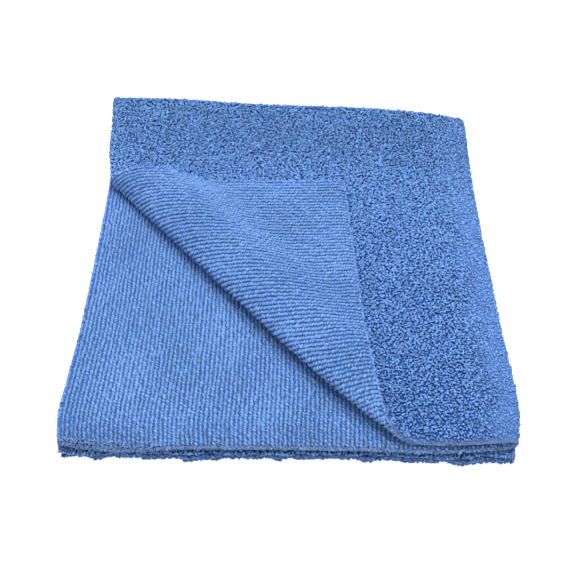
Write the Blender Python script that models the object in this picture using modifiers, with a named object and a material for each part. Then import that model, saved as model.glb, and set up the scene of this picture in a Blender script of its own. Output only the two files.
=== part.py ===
"""A microfibre cloth folded in quarters, with the front left corner of its top layer turned back.

The cloth is cut flat and scored where it bends. Its right half goes under its left half, the pair
goes round again at the back, and then the corner of the top layer is rolled over. While it is
folded, x runs to the right from the cloth's middle and y to the back from its front edge.
"""

from bisect import bisect_right
from collections import namedtuple
from math import cos, exp, pi, radians, sin, sqrt

import bmesh
import bpy
from mathutils import Vector

MM = 0.001

# The cloth as it is cut. Its thickness is the long pile, the backing and the ribbed loops together.
CLOTH_WIDTH = 400 * MM
CLOTH_LENGTH = 410 * MM
CLOTH_THICKNESS = 4.2 * MM
LAYER_PITCH = 4.6 * MM

# The first fold, at the right, is a hairpin. The second, at the back, takes both layers round.
HAIRPIN_RADIUS = LAYER_PITCH / 2
PAIR_RADIUS = LAYER_PITCH
OUTER_RADIUS = PAIR_RADIUS + HAIRPIN_RADIUS
STACK_MIDDLE = CLOTH_THICKNESS / 2 + OUTER_RADIUS
HAIRPIN_LENGTH = pi * HAIRPIN_RADIUS
PAIR_BEND_LENGTH = pi * PAIR_RADIUS
FLAT_ACROSS = (CLOTH_WIDTH - HAIRPIN_LENGTH) / 2
FLAT_ALONG = (CLOTH_LENGTH - PAIR_BEND_LENGTH) / 2
TOP_LAYER_FLOOR = STACK_MIDDLE + OUTER_RADIUS - HAIRPIN_RADIUS

# The share of its thickness that the pile gives up where a bend presses it together.
PRESSED_SHARE = 0.3

# Where the cut edges and the folds lie, in millimetres. The layers are named from the top down.
FrontEdge = namedtuple("FrontEdge", "x top second third bottom")
FRONT_EDGES = (
    FrontEdge(-100, 17.0, 2.6, 1.6, 1.8),
    FrontEdge(-86, 16.6, 0.6, 0.6, 1.0),
    FrontEdge(-70, 16.0, -0.6, -0.4, 0.2),
    FrontEdge(-45, 15.2, 1.0, 0.0, -0.4),
    FrontEdge(-10, 13.4, 1.0, 0.4, 0.0),
    FrontEdge(24, 11.2, 0.4, -0.2, -0.2),
    FrontEdge(38, 9.8, 0.2, -0.4, -0.4),
    FrontEdge(46, 5.6, 0.0, -0.8, -1.0),
    FrontEdge(56, 1.6, -0.4, -1.2, -1.6),
    FrontEdge(76, 1.0, -0.8, -1.4, -1.8),
    FrontEdge(100, 2.2, 1.4, 0.6, 0.0),
)
LeftEdge = namedtuple("LeftEdge", "y top second third bottom")
LEFT_EDGES = (
    LeftEdge(0, -99.6, -100.6, -101.0, -99.0),
    LeftEdge(12, -99.6, -102.6, -102.0, -100.6),
    LeftEdge(34, -99.8, -101.2, -101.4, -100.4),
    LeftEdge(58, -100.4, -99.6, -100.2, -99.6),
    LeftEdge(110, -101.0, -98.8, -99.2, -98.8),
    LeftEdge(130, -99.2, -98.6, -99.0, -98.8),
    LeftEdge(143, -95.6, -98.6, -99.0, -99.0),
    LeftEdge(160, -99.0, -98.8, -99.2, -99.6),
    LeftEdge(184, -101.8, -100.2, -100.6, -101.8),
    LeftEdge(205, -104.2, -102.6, -102.6, -104.2),
)
RightFold = namedtuple("RightFold", "y x")
RIGHT_FOLD = (
    RightFold(0, 97.2),
    RightFold(20, 100.0),
    RightFold(60, 98.8),
    RightFold(110, 98.0),
    RightFold(155, 97.4),
    RightFold(190, 97.4),
    RightFold(205, 97.0),
)
BackFold = namedtuple("BackFold", "x y")
BACK_FOLD = (
    BackFold(-104, 219.6),
    BackFold(-60, 217.6),
    BackFold(-18, 213.8),
    BackFold(24, 211.4),
    BackFold(56, 209.0),
    BackFold(80, 204.8),
    BackFold(100, 202.4),
)

# Low swells of the stack, in millimetres: the top layer rises by all of their height.
Swell = namedtuple("Swell", "x y radius height")
SWELLS = (
    Swell(80, 188, 24, 2.4),
    Swell(-66, 190, 34, 0.7),
    Swell(30, 168, 40, 1.0),
    Swell(74, 88, 34, 0.8),
    Swell(-40, 60, 36, 0.6),
    Swell(62, 22, 20, 0.6),
)

# The turned corner bends up at a diagonal, rises to a crest and falls until it lies on the pile.
# These are its sizes at the cloth's left edge, and they shrink towards its front edge.
ROLL_LINE = 57 * MM
ROLL_TURN = 5.0 * MM
ROLL_DEPTH = 18.0 * MM
ROLL_CREST = 12.6 * MM
ROLL_FALL = 26.0 * MM
ROLL_LEFT_X = -98 * MM
ROLL_FRONT_X = 54 * MM
ROLL_SIZE_AT_FRONT = 0.7
ROLL_STEPS = 5

# A score goes through a corner that lies within its reach, so that it leaves no sliver.
SCORE_REACH = 0.01 * MM
ROLL_SCORE_REACH = 0.7 * MM
FLAT_STEPS = 13
HAIRPIN_STEPS = 6
PAIR_BEND_STEPS = 9

CLOTH_BLUE = (0.115, 0.262, 0.708, 1.0)
CLOTH_ROUGHNESS = 0.95
SHARP_ANGLE = radians(60)

TO_CORNER = Vector((-1, -1, 0)).normalized()


def read_table(rows, column, place):
    """One column of a table at a place along its first one, on a smooth curve through its rows."""
    places = [row[0] for row in rows]
    values = [getattr(row, column) for row in rows]
    if place <= places[0]:
        return values[0]
    if place >= places[-1]:
        return values[-1]

    def slope(index):
        before = max(index - 1, 0)
        after = min(index + 1, len(rows) - 1)
        return (values[after] - values[before]) / (places[after] - places[before])

    low = bisect_right(places, place) - 1
    span = places[low + 1] - places[low]
    t = (place - places[low]) / span
    return (
        (1 + 2 * t) * (1 - t) ** 2 * values[low]
        + t * (1 - t) ** 2 * span * slope(low)
        + t * t * (3 - 2 * t) * values[low + 1]
        + t * t * (t - 1) * span * slope(low + 1)
    )


def mix(start, end, share):
    """The value at a share of the way from start to end."""
    return start + (end - start) * share


def of_layers(rows, place, inner, lower):
    """A table's value for a point whose shares of the inner and of the lower layers are given."""
    outer_value = mix(read_table(rows, "top", place), read_table(rows, "bottom", place), lower)
    inner_value = mix(read_table(rows, "second", place), read_table(rows, "third", place), lower)
    return mix(outer_value, inner_value, inner) * MM


def along_fold(distance, flat, bend):
    """A distance over a flat run, a bend and a flat run back, as a share of the run and an angle."""
    if distance <= flat:
        return distance / flat, 0.0
    if distance < flat + bend:
        return 1.0, pi * (distance - flat) / bend
    return max(0.0, 1 - (distance - flat - bend) / flat), pi


def swell_at(x, y):
    """The height of the swells under a point of the top layer."""
    return MM * sum(
        swell.height * exp(-((x / MM - swell.x) ** 2 + (y / MM - swell.y) ** 2) / swell.radius**2)
        for swell in SWELLS
    )


def fold_in_quarters(flat_point):
    """Where a point of the flat cloth's middle surface lies in the folded stack."""
    across, hairpin_angle = along_fold(flat_point.x, FLAT_ACROSS, HAIRPIN_LENGTH)
    along, pair_angle = along_fold(flat_point.y, FLAT_ALONG, PAIR_BEND_LENGTH)
    inner = hairpin_angle / pi
    lower = pair_angle / pi
    rough_x = (across - 0.5) * CLOTH_WIDTH / 2
    rough_y = along * CLOTH_LENGTH / 2

    front = of_layers(FRONT_EDGES, rough_x / MM, inner, lower)
    bend_centre = read_table(BACK_FOLD, "y", rough_x / MM) * MM - OUTER_RADIUS
    radius = PAIR_RADIUS + HAIRPIN_RADIUS * cos(hairpin_angle)
    y = mix(front, bend_centre, along) + radius * sin(pair_angle)
    z = STACK_MIDDLE + radius * cos(pair_angle)

    left = of_layers(LEFT_EDGES, rough_y / MM, inner, lower)
    bulge = HAIRPIN_RADIUS * sin(hairpin_angle)
    right = read_table(RIGHT_FOLD, "x", rough_y / MM) * MM - HAIRPIN_RADIUS
    x = mix(left, right, across) + bulge

    height_share = (z - CLOTH_THICKNESS / 2) / (2 * OUTER_RADIUS)
    return Vector((x, y, z + height_share * swell_at(x, y)))


def thickness_share(flat_point):
    """How much of its thickness the cloth keeps: the tight bends press its pile together."""
    _, hairpin_angle = along_fold(flat_point.x, FLAT_ACROSS, HAIRPIN_LENGTH)
    _, pair_angle = along_fold(flat_point.y, FLAT_ALONG, PAIR_BEND_LENGTH)
    inner = hairpin_angle / pi
    return 1 - PRESSED_SHARE * max(sin(hairpin_angle), inner * sin(pair_angle))


def roll_section(size):
    """The turned corner's path across its roll, as length, reach to the corner and rise."""
    turn = ROLL_TURN * size
    crest = LAYER_PITCH + (ROLL_CREST - LAYER_PITCH) * size
    depth = ROLL_DEPTH * size
    fall = ROLL_FALL * size
    quarter = [pi / 2 * step / ROLL_STEPS for step in range(ROLL_STEPS + 1)]
    path = [(turn * sin(angle), turn * (1 - cos(angle))) for angle in quarter]
    path += [
        (turn - depth * (1 - cos(angle)), turn + (crest - turn) * sin(angle))
        for angle in quarter[1:]
    ]
    path += [
        (turn - depth - fall * angle / (pi / 2), mix(LAYER_PITCH, crest, cos(angle) ** 2))
        for angle in quarter[1:]
    ]
    length = 0.0
    section = [(0.0, 0.0, 0.0)]
    for (reach, rise), (next_reach, next_rise) in zip(path, path[1:]):
        length += sqrt((next_reach - reach) ** 2 + (next_rise - rise) ** 2)
        section.append((length, next_reach, next_rise))
    return section


def roll_size_at(x, y):
    """The roll's size at a point: whole at the left edge, less towards the front edge."""
    left_end = 2 * ROLL_LEFT_X - ROLL_LINE
    front_end = 2 * ROLL_FRONT_X - ROLL_LINE
    return mix(1.0, ROLL_SIZE_AT_FRONT, (x - y - left_end) / (front_end - left_end))


def roll_corner(point):
    """Where a point of the top layer lies once its corner is turned back."""
    past_line = (ROLL_LINE - point.x - point.y) / sqrt(2)
    if past_line <= 0:
        return point
    section = roll_section(roll_size_at(point.x, point.y))
    length, reach, rise = section[-1]
    reach -= past_line - length
    for (near, near_reach, near_rise), (far, far_reach, far_rise) in zip(section, section[1:]):
        if near <= past_line < far:
            share = (past_line - near) / (far - near)
            reach = mix(near_reach, far_reach, share)
            rise = mix(near_rise, far_rise, share)
    turned = point + TO_CORNER * (reach - past_line)
    turned.z += rise + swell_at(turned.x, turned.y) - swell_at(point.x, point.y)
    return turned


def score(mesh, place, normal, faces, reach):
    """Cut faces along a plane, so that they can bend there."""
    edges = {edge for face in faces for edge in face.edges}
    corners = {corner for face in faces for corner in face.verts}
    bmesh.ops.bisect_plane(
        mesh,
        geom=[*faces, *edges, *corners],
        dist=reach,
        plane_co=place,
        plane_no=normal,
    )


def fold_places(flat, bend, bend_steps):
    """The distances from a cut edge at which the flat cloth is scored."""
    first = [flat * step / FLAT_STEPS for step in range(1, FLAT_STEPS + 1)]
    round_bend = [flat + bend * step / bend_steps for step in range(1, bend_steps + 1)]
    back = [flat + bend + place for place in first[:-1]]
    return first + round_bend + back


def flat_cloth():
    """The cut cloth, flat, with a corner at the origin and scored for both folds."""
    mesh = bmesh.new()
    bmesh.ops.create_grid(mesh, x_segments=1, y_segments=1, size=0.5)
    bmesh.ops.translate(mesh, vec=(0.5, 0.5, 0), verts=mesh.verts)
    bmesh.ops.scale(mesh, vec=(CLOTH_WIDTH, CLOTH_LENGTH, 1), verts=mesh.verts)
    for x in fold_places(FLAT_ACROSS, HAIRPIN_LENGTH, HAIRPIN_STEPS):
        score(mesh, Vector((x, 0, 0)), Vector((1, 0, 0)), list(mesh.faces), SCORE_REACH)
    for y in fold_places(FLAT_ALONG, PAIR_BEND_LENGTH, PAIR_BEND_STEPS):
        score(mesh, Vector((0, y, 0)), Vector((0, 1, 0)), list(mesh.faces), SCORE_REACH)
    return mesh


def score_roll(mesh):
    """Cut the top layer along the lines at which its corner bends."""
    left_end = Vector((ROLL_LEFT_X, ROLL_LINE - ROLL_LEFT_X, 0))
    front_end = Vector((ROLL_FRONT_X, ROLL_LINE - ROLL_FRONT_X, 0))
    left_section = roll_section(1.0)
    front_section = roll_section(ROLL_SIZE_AT_FRONT)
    for (left_length, _, _), (front_length, _, _) in zip(left_section, front_section):
        start = left_end + TO_CORNER * left_length
        end = front_end + TO_CORNER * front_length
        line = end - start
        across_line = Vector((line.y, -line.x, 0)).normalized()
        top = [face for face in mesh.faces if min(v.co.z for v in face.verts) > TOP_LAYER_FLOOR]
        score(mesh, start, across_line, top, ROLL_SCORE_REACH)


def fold_cloth(mesh):
    """Fold the flat cloth in quarters and turn its top corner back."""
    weights = mesh.verts.layers.deform.verify()
    for corner in mesh.verts:
        corner[weights][0] = thickness_share(corner.co)
        corner.co = fold_in_quarters(corner.co)
    score_roll(mesh)
    bmesh.ops.triangulate(mesh, faces=mesh.faces)
    for corner in mesh.verts:
        if corner.co.z > TOP_LAYER_FLOOR:
            corner.co = roll_corner(corner.co)


def cloth_material():
    """Matt blue polyester and polyamide microfibre."""
    material = bpy.data.materials.new("microfibre_blue")
    material.use_nodes = True
    shader = material.node_tree.nodes["Principled BSDF"]
    shader.inputs["Base Color"].default_value = CLOTH_BLUE
    shader.inputs["Roughness"].default_value = CLOTH_ROUGHNESS
    shader.inputs["Metallic"].default_value = 0.0
    return material


def build_cloth(collection):
    """The whole cloth as one sheet of its full thickness."""
    folded = flat_cloth()
    fold_cloth(folded)
    data = bpy.data.meshes.new("cloth")
    folded.to_mesh(data)
    folded.free()
    cloth = bpy.data.objects.new("cloth", data)
    collection.objects.link(cloth)
    thickness = cloth.modifiers.new("full thickness", "SOLIDIFY")
    thickness.thickness = CLOTH_THICKNESS
    thickness.offset = 0
    thickness.use_quality_normals = True
    thickness.vertex_group = cloth.vertex_groups.new(name="thickness").name
    data.materials.append(cloth_material())
    data.shade_smooth()
    data.set_sharp_from_angle(angle=SHARP_ANGLE)
    return cloth


def centre_on_base(cloth):
    """Move the mesh so that the origin is the middle of the base that the cloth rests on."""
    bpy.context.view_layer.update()
    evaluated = cloth.evaluated_get(bpy.context.evaluated_depsgraph_get())
    low = Vector(min(corner[axis] for corner in evaluated.bound_box) for axis in range(3))
    high = Vector(max(corner[axis] for corner in evaluated.bound_box) for axis in range(3))
    for corner in cloth.data.vertices:
        corner.co -= Vector(((low.x + high.x) / 2, (low.y + high.y) / 2, low.z))


def main():
    """Clear the file and build the cloth in its own collection."""
    for old_object in list(bpy.data.objects):
        bpy.data.objects.remove(old_object)
    collection = bpy.data.collections.new("microfibre_cloth")
    bpy.context.scene.collection.children.link(collection)
    centre_on_base(build_cloth(collection))


main()
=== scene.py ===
"""A folded microfibre cloth: ribbed loops on one side, long curly pile on the other.

The cloth is described flat, by its own coordinates: u runs across it from the left cut edge of the
top layer, and v runs from that layer's front cut edge towards the back. Ribs run along v. Every
piece is laid out on the flat cloth first and then carried to its place by the same fold. In the
folded stack, x runs to the right from the middle of the front and y runs to the back. Lengths are
in millimetres until a mesh is made.
"""

import logging
from collections.abc import Callable
from dataclasses import dataclass, field
from enum import Enum
from math import cos, pi, radians, sin, sqrt
from typing import NamedTuple

import bpy
import numpy as np
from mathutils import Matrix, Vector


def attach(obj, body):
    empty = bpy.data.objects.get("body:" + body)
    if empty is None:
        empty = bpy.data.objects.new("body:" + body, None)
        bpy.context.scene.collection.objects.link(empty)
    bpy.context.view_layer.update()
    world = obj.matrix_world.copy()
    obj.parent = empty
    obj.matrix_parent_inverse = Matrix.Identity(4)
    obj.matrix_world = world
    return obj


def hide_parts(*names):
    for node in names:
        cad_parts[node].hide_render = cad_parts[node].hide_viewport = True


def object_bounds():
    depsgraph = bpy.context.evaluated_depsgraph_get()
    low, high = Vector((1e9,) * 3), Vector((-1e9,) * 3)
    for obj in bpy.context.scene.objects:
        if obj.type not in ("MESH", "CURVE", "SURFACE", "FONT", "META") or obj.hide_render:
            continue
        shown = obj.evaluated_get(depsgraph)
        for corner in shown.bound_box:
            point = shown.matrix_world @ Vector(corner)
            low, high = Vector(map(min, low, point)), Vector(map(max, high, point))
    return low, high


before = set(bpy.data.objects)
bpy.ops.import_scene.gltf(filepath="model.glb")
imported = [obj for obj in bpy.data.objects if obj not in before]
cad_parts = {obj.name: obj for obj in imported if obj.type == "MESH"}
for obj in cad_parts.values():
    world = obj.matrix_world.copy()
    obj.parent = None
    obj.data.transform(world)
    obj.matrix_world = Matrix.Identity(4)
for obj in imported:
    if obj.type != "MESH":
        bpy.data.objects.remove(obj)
cad_low, cad_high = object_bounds()

MM = 0.001
CLOTH_WIDTH = 400.0
CLOTH_LENGTH = 410.0
NODE = "cloth"
BODY = "root"
# Taken from a table's length, this gives the last place that still has an entry after it.
PAST_LAST_PAIR = 1.001

log = logging.getLogger("cloth")

Array = np.ndarray
# Where something starts, where it is full, where it starts to fade and where it ends.
Stretch = tuple[float, float, float, float]

# ---------------------------------------------------------------------------------------------
# The cut cloth and its folds
# ---------------------------------------------------------------------------------------------


class FrontEdge(NamedTuple):
    """How far back each layer's front cut edge lies, at one place across the stack."""

    x: float
    top: float
    second: float
    third: float
    bottom: float


class LeftEdge(NamedTuple):
    """Where each layer's left cut edge lies, at one place from front to back."""

    y: float
    top: float
    second: float
    third: float
    bottom: float


class RightFold(NamedTuple):
    """Where the right fold reaches to, at one place from front to back."""

    y: float
    x: float


class BackFold(NamedTuple):
    """Where the back fold reaches to, at one place across the stack."""

    x: float
    y: float


class Bow(NamedTuple):
    """How far forward of a straight line the corner's bend lies, at a share of the way along it."""

    share: float
    forward: float


class Swell(NamedTuple):
    """A place where the top layer stands a little higher than it would if it lay flat."""

    x: float
    y: float
    radius: float
    height: float


# The real cloth's cut edges and folds are uneven, so these tables hold where each one lies, how the
# turned corner's bend bows and where the top layer swells.
FRONT_EDGES = (
    FrontEdge(-100, 17.0, 2.4, 0.6, 0.2),
    FrontEdge(-86, 16.6, 0.6, 0.2, 0.4),
    FrontEdge(-70, 16.0, -0.6, -0.4, 0.2),
    FrontEdge(-45, 14.6, 0.6, 0.0, -0.4),
    FrontEdge(-10, 12.4, 0.6, 0.4, 0.0),
    FrontEdge(10, 9.9, 0.3, 0.0, -0.1),
    FrontEdge(24, 7.6, 0.0, -0.2, -0.2),
    FrontEdge(38, 5.6, -0.2, -0.4, -0.4),
    FrontEdge(46, 3.8, -0.5, -0.8, -1.0),
    FrontEdge(56, 1.2, -1.0, -1.3, -1.8),
    FrontEdge(76, 0.6, -1.1, -1.8, -2.7),
    FrontEdge(100, 2.0, 0.8, -1.0, -2.1),
)
LEFT_EDGES = (
    LeftEdge(0, -99.6, -100.4, -100.8, -100.6),
    LeftEdge(12, -99.6, -102.4, -102.0, -101.0),
    LeftEdge(34, -99.8, -101.2, -101.4, -100.4),
    LeftEdge(58, -100.4, -99.6, -100.2, -99.6),
    LeftEdge(110, -101.0, -98.8, -99.2, -98.8),
    LeftEdge(130, -99.2, -98.6, -99.0, -98.8),
    LeftEdge(143, -97.4, -98.6, -99.0, -99.0),
    LeftEdge(164, -100.8, -98.9, -99.3, -99.8),
    LeftEdge(184, -101.8, -100.2, -100.6, -101.8),
    LeftEdge(205, -104.2, -102.6, -102.6, -104.2),
)
RIGHT_FOLD = (
    RightFold(0, 97.2),
    RightFold(20, 100.0),
    RightFold(60, 98.8),
    RightFold(110, 98.0),
    RightFold(155, 97.9),
    RightFold(190, 98.8),
    RightFold(205, 99.4),
)
BACK_FOLD = (
    BackFold(-104, 219.6),
    BackFold(-60, 217.6),
    BackFold(-18, 213.8),
    BackFold(24, 211.4),
    BackFold(56, 209.0),
    BackFold(80, 204.8),
    BackFold(100, 200.4),
)
BOWS = (
    Bow(0.0, -5.0),
    Bow(0.17, -2.8),
    Bow(0.43, 1.8),
    Bow(0.645, 4.2),
    Bow(0.835, 4.7),
    Bow(0.967, 2.2),
    Bow(1.05, 0.8),
)
SWELLS = (
    Swell(80, 188, 24, 2.4),
    Swell(-66, 190, 34, 0.7),
    Swell(30, 168, 40, 1.0),
    Swell(74, 88, 34, 0.8),
    Swell(-40, 60, 36, 0.6),
    Swell(62, 22, 20, 0.6),
)


class Layer(Enum):
    """The four layers of the folded cloth, from the top down."""

    TOP = "top"
    SECOND = "second"
    THIRD = "third"
    BOTTOM = "bottom"


def read_table(rows: tuple, column: str, place: Array) -> Array:
    """Read one column of a table at many places, on a smooth curve through its rows.

    Args:
        rows: the table, in rising order of its first column.
        column: the name of the column to read.
        place: where along the first column to read it.

    Returns:
        The column's value at each place, held past the table's ends.
    """
    places = np.array([row[0] for row in rows], float)
    values = np.array([getattr(row, column) for row in rows], float)
    before = np.maximum(np.arange(len(rows)) - 1, 0)
    after = np.minimum(np.arange(len(rows)) + 1, len(rows) - 1)
    slopes = (values[after] - values[before]) / (places[after] - places[before])
    at = np.clip(place, places[0], places[-1])
    low = np.clip(np.searchsorted(places, at, side="right") - 1, 0, len(rows) - 2)
    span = places[low + 1] - places[low]
    t = (at - places[low]) / span
    return (
        (1 + 2 * t) * (1 - t) ** 2 * values[low]
        + t * (1 - t) ** 2 * span * slopes[low]
        + t * t * (3 - 2 * t) * values[low + 1]
        + t * t * (t - 1) * span * slopes[low + 1]
    )


def mix(start: Array | float, end: Array | float, share: Array | float) -> Array | float:
    """Return the value at a share of the way from start to end."""
    return start + (end - start) * share


def rise(value: Array, start: Array | float, end: Array | float) -> Array:
    """Return 0 before start, 1 past end and a smooth step between, whichever of them is larger."""
    t = np.clip((value - start) / (end - start), 0, 1)
    return t * t * (3 - 2 * t)


def between(value: Array, stretch: Stretch) -> Array:
    """Return 1 in the middle of a stretch, 0 outside it and a smooth step at each of its ends."""
    start, full, fade, end = stretch
    return rise(value, start, full) * rise(value, end, fade)


@dataclass(frozen=True)
class Searing:
    """How the heat of the cut has greyed the cloth: most at the second layer's front edge.

    Attributes:
        reach: how far in from a front or back cut edge it goes.
        corner: between which places across the cloth that reach grows to twice as much.
        by_fold: between which places across the cloth it sets in on the top layer.
        lower: the lower two layers' share of it.
        worn: the right fold's share of it, where wear greys the pile in the same way.
        worn_reach: how far from that fold's middle the wear sets in, and where it is full.
    """

    reach: float = 3.0
    corner: tuple[float, float] = (350.0, 366.0)
    by_fold: tuple[float, float] = (122.0, 148.0)
    lower: float = 0.35
    worn: float = 0.25
    worn_reach: tuple[float, float] = (28.0, 8.0)

    def share_at(self, u: Array, v: Array) -> Array:
        """Work out how far the cloth has been greyed.

        Args:
            u: across the flat cloth.
            v: along the flat cloth.

        Returns:
            From 0 for no change to 1.
        """
        border = np.minimum(v, CLOTH_LENGTH - v)
        left, upper = u < CLOTH_WIDTH / 2, v < CLOTH_LENGTH / 2
        right, lower = u > CLOTH_WIDTH / 2, v > CLOTH_LENGTH / 2
        top = rise(u, *self.by_fold) * left * upper
        reach = self.reach * (1 + rise(u, *self.corner))
        seared = rise(reach - border, 0, reach) * ((right & upper) + self.lower * lower + top)
        return np.maximum(seared, self.worn * rise(np.abs(u - CLOTH_WIDTH / 2), *self.worn_reach))


SEARING = Searing()


@dataclass(frozen=True)
class Ripple:
    """Smooth unevenness over the cloth, a sum of a few plane waves in fixed random directions.

    Attributes:
        size: the mean wave length.
        seed: which set of directions and phases is drawn.
        waves: how many waves are added.
    """

    size: float
    seed: int
    waves: int = 7

    def at(self, x: Array, y: Array) -> Array:
        """Work out the unevenness at each point.

        Args:
            x: across.
            y: along.

        Returns:
            Values from about -1 to 1.
        """
        random = np.random.default_rng(self.seed)
        total = np.zeros(np.broadcast(x, y).shape)
        for _ in range(self.waves):
            heading, phase, stretch = random.random(3) * (2 * pi, 2 * pi, 0.9) + (0, 0, 0.6)
            number = 2 * pi / (self.size * stretch)
            total += np.sin(number * (x * cos(heading) + y * sin(heading)) + phase)
        return total / sqrt(self.waves * 2)


@dataclass
class Roll:
    """The turned corner's bend: up from the layer, over a crest and down on to the pile.

    Attributes:
        resting: the height of the turned cloth above the layer that it lies on.
        line: x + y along the diagonal where the corner starts to bend.
        turn: the radius of the first quarter turn.
        depth: how far the crest lies behind the turn.
        crest: the height of the crest above the layer.
        fall: how far the cloth takes to come down to its resting height.
        left_x: x where the bend meets the left edge.
        front_x: x where the bend meets the front edge.
        size_at_front: the bend's size there, as a share of its size at the left edge.
        bowed: the stretch past the line where the cloth is bowed, as the table of bows says.
        steps: how many points shape each of the bend's three parts.
        sizes: the sizes that the bend's path is worked out for.
        shares: the shares of the path's length at which it is worked out.
    """

    resting: float
    line: float = 57.0
    turn: float = 5.0
    depth: float = 18.0
    crest: float = 12.6
    fall: float = 26.0
    left_x: float = -98.0
    front_x: float = 54.0
    size_at_front: float = 0.7
    bowed: Stretch = (0.0, 10.0, 12.0, 50.0)
    steps: int = 90
    sizes: Array = field(default_factory=lambda: np.linspace(0.5, 1.2, 15))
    shares: Array = field(default_factory=lambda: np.linspace(0, 1, 241))

    def __post_init__(self) -> None:
        """Work out the bend's length, reach and rise for a range of sizes."""
        paths = [self.section(size) for size in self.sizes]
        self.lengths = np.array([path[0] for path in paths])
        self.reaches = np.array([path[1] for path in paths])
        self.rises = np.array([path[2] for path in paths])

    def section(self, size: float) -> tuple[float, Array, Array]:
        """Work out the bend's path for one size.

        Args:
            size: the bend's size, 1 at the left edge.

        Returns:
            The path's length, and its reach and rise at even shares of that length.
        """
        turn, depth, fall = self.turn * size, self.depth * size, self.fall * size
        crest = mix(self.resting, self.crest, size)
        climb = np.linspace(0, pi / 2, self.steps)
        over = climb[1:]
        reach = np.concatenate(
            [
                turn * np.sin(climb),
                turn - depth * (1 - np.cos(over)),
                turn - depth - fall * over / (pi / 2),
            ]
        )
        lift = np.concatenate(
            [
                turn * (1 - np.cos(climb)),
                turn + (crest - turn) * np.sin(over),
                mix(self.resting, crest, np.cos(over) ** 2),
            ]
        )
        along = np.concatenate([[0], np.cumsum(np.hypot(np.diff(reach), np.diff(lift)))])
        even = self.shares * along[-1]
        return along[-1], np.interp(even, along, reach), np.interp(even, along, lift)

    def share_at(self, x: Array, y: Array) -> Array:
        """Return how far along the bend points lie, from 0 at the left edge to 1 at the front."""
        first, last = 2 * self.left_x - self.line, 2 * self.front_x - self.line
        return (x - y - first) / (last - first)

    def size_at(self, x: Array, y: Array) -> Array:
        """Return the bend's size at each point of the unturned layer."""
        size = mix(1.0, self.size_at_front, self.share_at(x, y))
        return np.clip(size, self.sizes[0], self.sizes[-1])

    def bow(self, past: Array, share: Array) -> Array:
        """Return how much further out the bend reaches where it isn't straight."""
        return read_table(BOWS, "forward", share) * between(past, self.bowed)

    def past(self, x: Array, y: Array) -> Array:
        """Return how far each point lies past the bend's line, towards the corner."""
        return (self.line - x - y) / sqrt(2)

    def carry(self, past: Array, size: Array) -> tuple[Array, Array]:
        """Carry points over the bend.

        Args:
            past: how far each point lay past the line.
            size: the bend's size there.

        Returns:
            Each point's reach past the line, and its rise.
        """
        length = np.interp(size, self.sizes, self.lengths)
        row = (size - self.sizes[0]) / (self.sizes[1] - self.sizes[0])
        row = np.clip(row, 0, len(self.sizes) - PAST_LAST_PAIR)
        column = np.clip(past / length, 0, 1) * (len(self.shares) - PAST_LAST_PAIR)
        low_row, low_column = row.astype(int), column.astype(int)
        row_share, column_share = row - low_row, column - low_column

        def look_up(grid: Array) -> Array:
            """Return the grid's value between its four nearest entries."""
            near, far = (
                mix(grid[at_row, low_column], grid[at_row, low_column + 1], column_share)
                for at_row in (low_row, low_row + 1)
            )
            return mix(near, far, row_share)

        beyond = np.maximum(past - length, 0)
        reach = np.where(past > 0, look_up(self.reaches) - beyond, past)
        return reach, np.where(past > 0, look_up(self.rises), 0)


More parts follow.
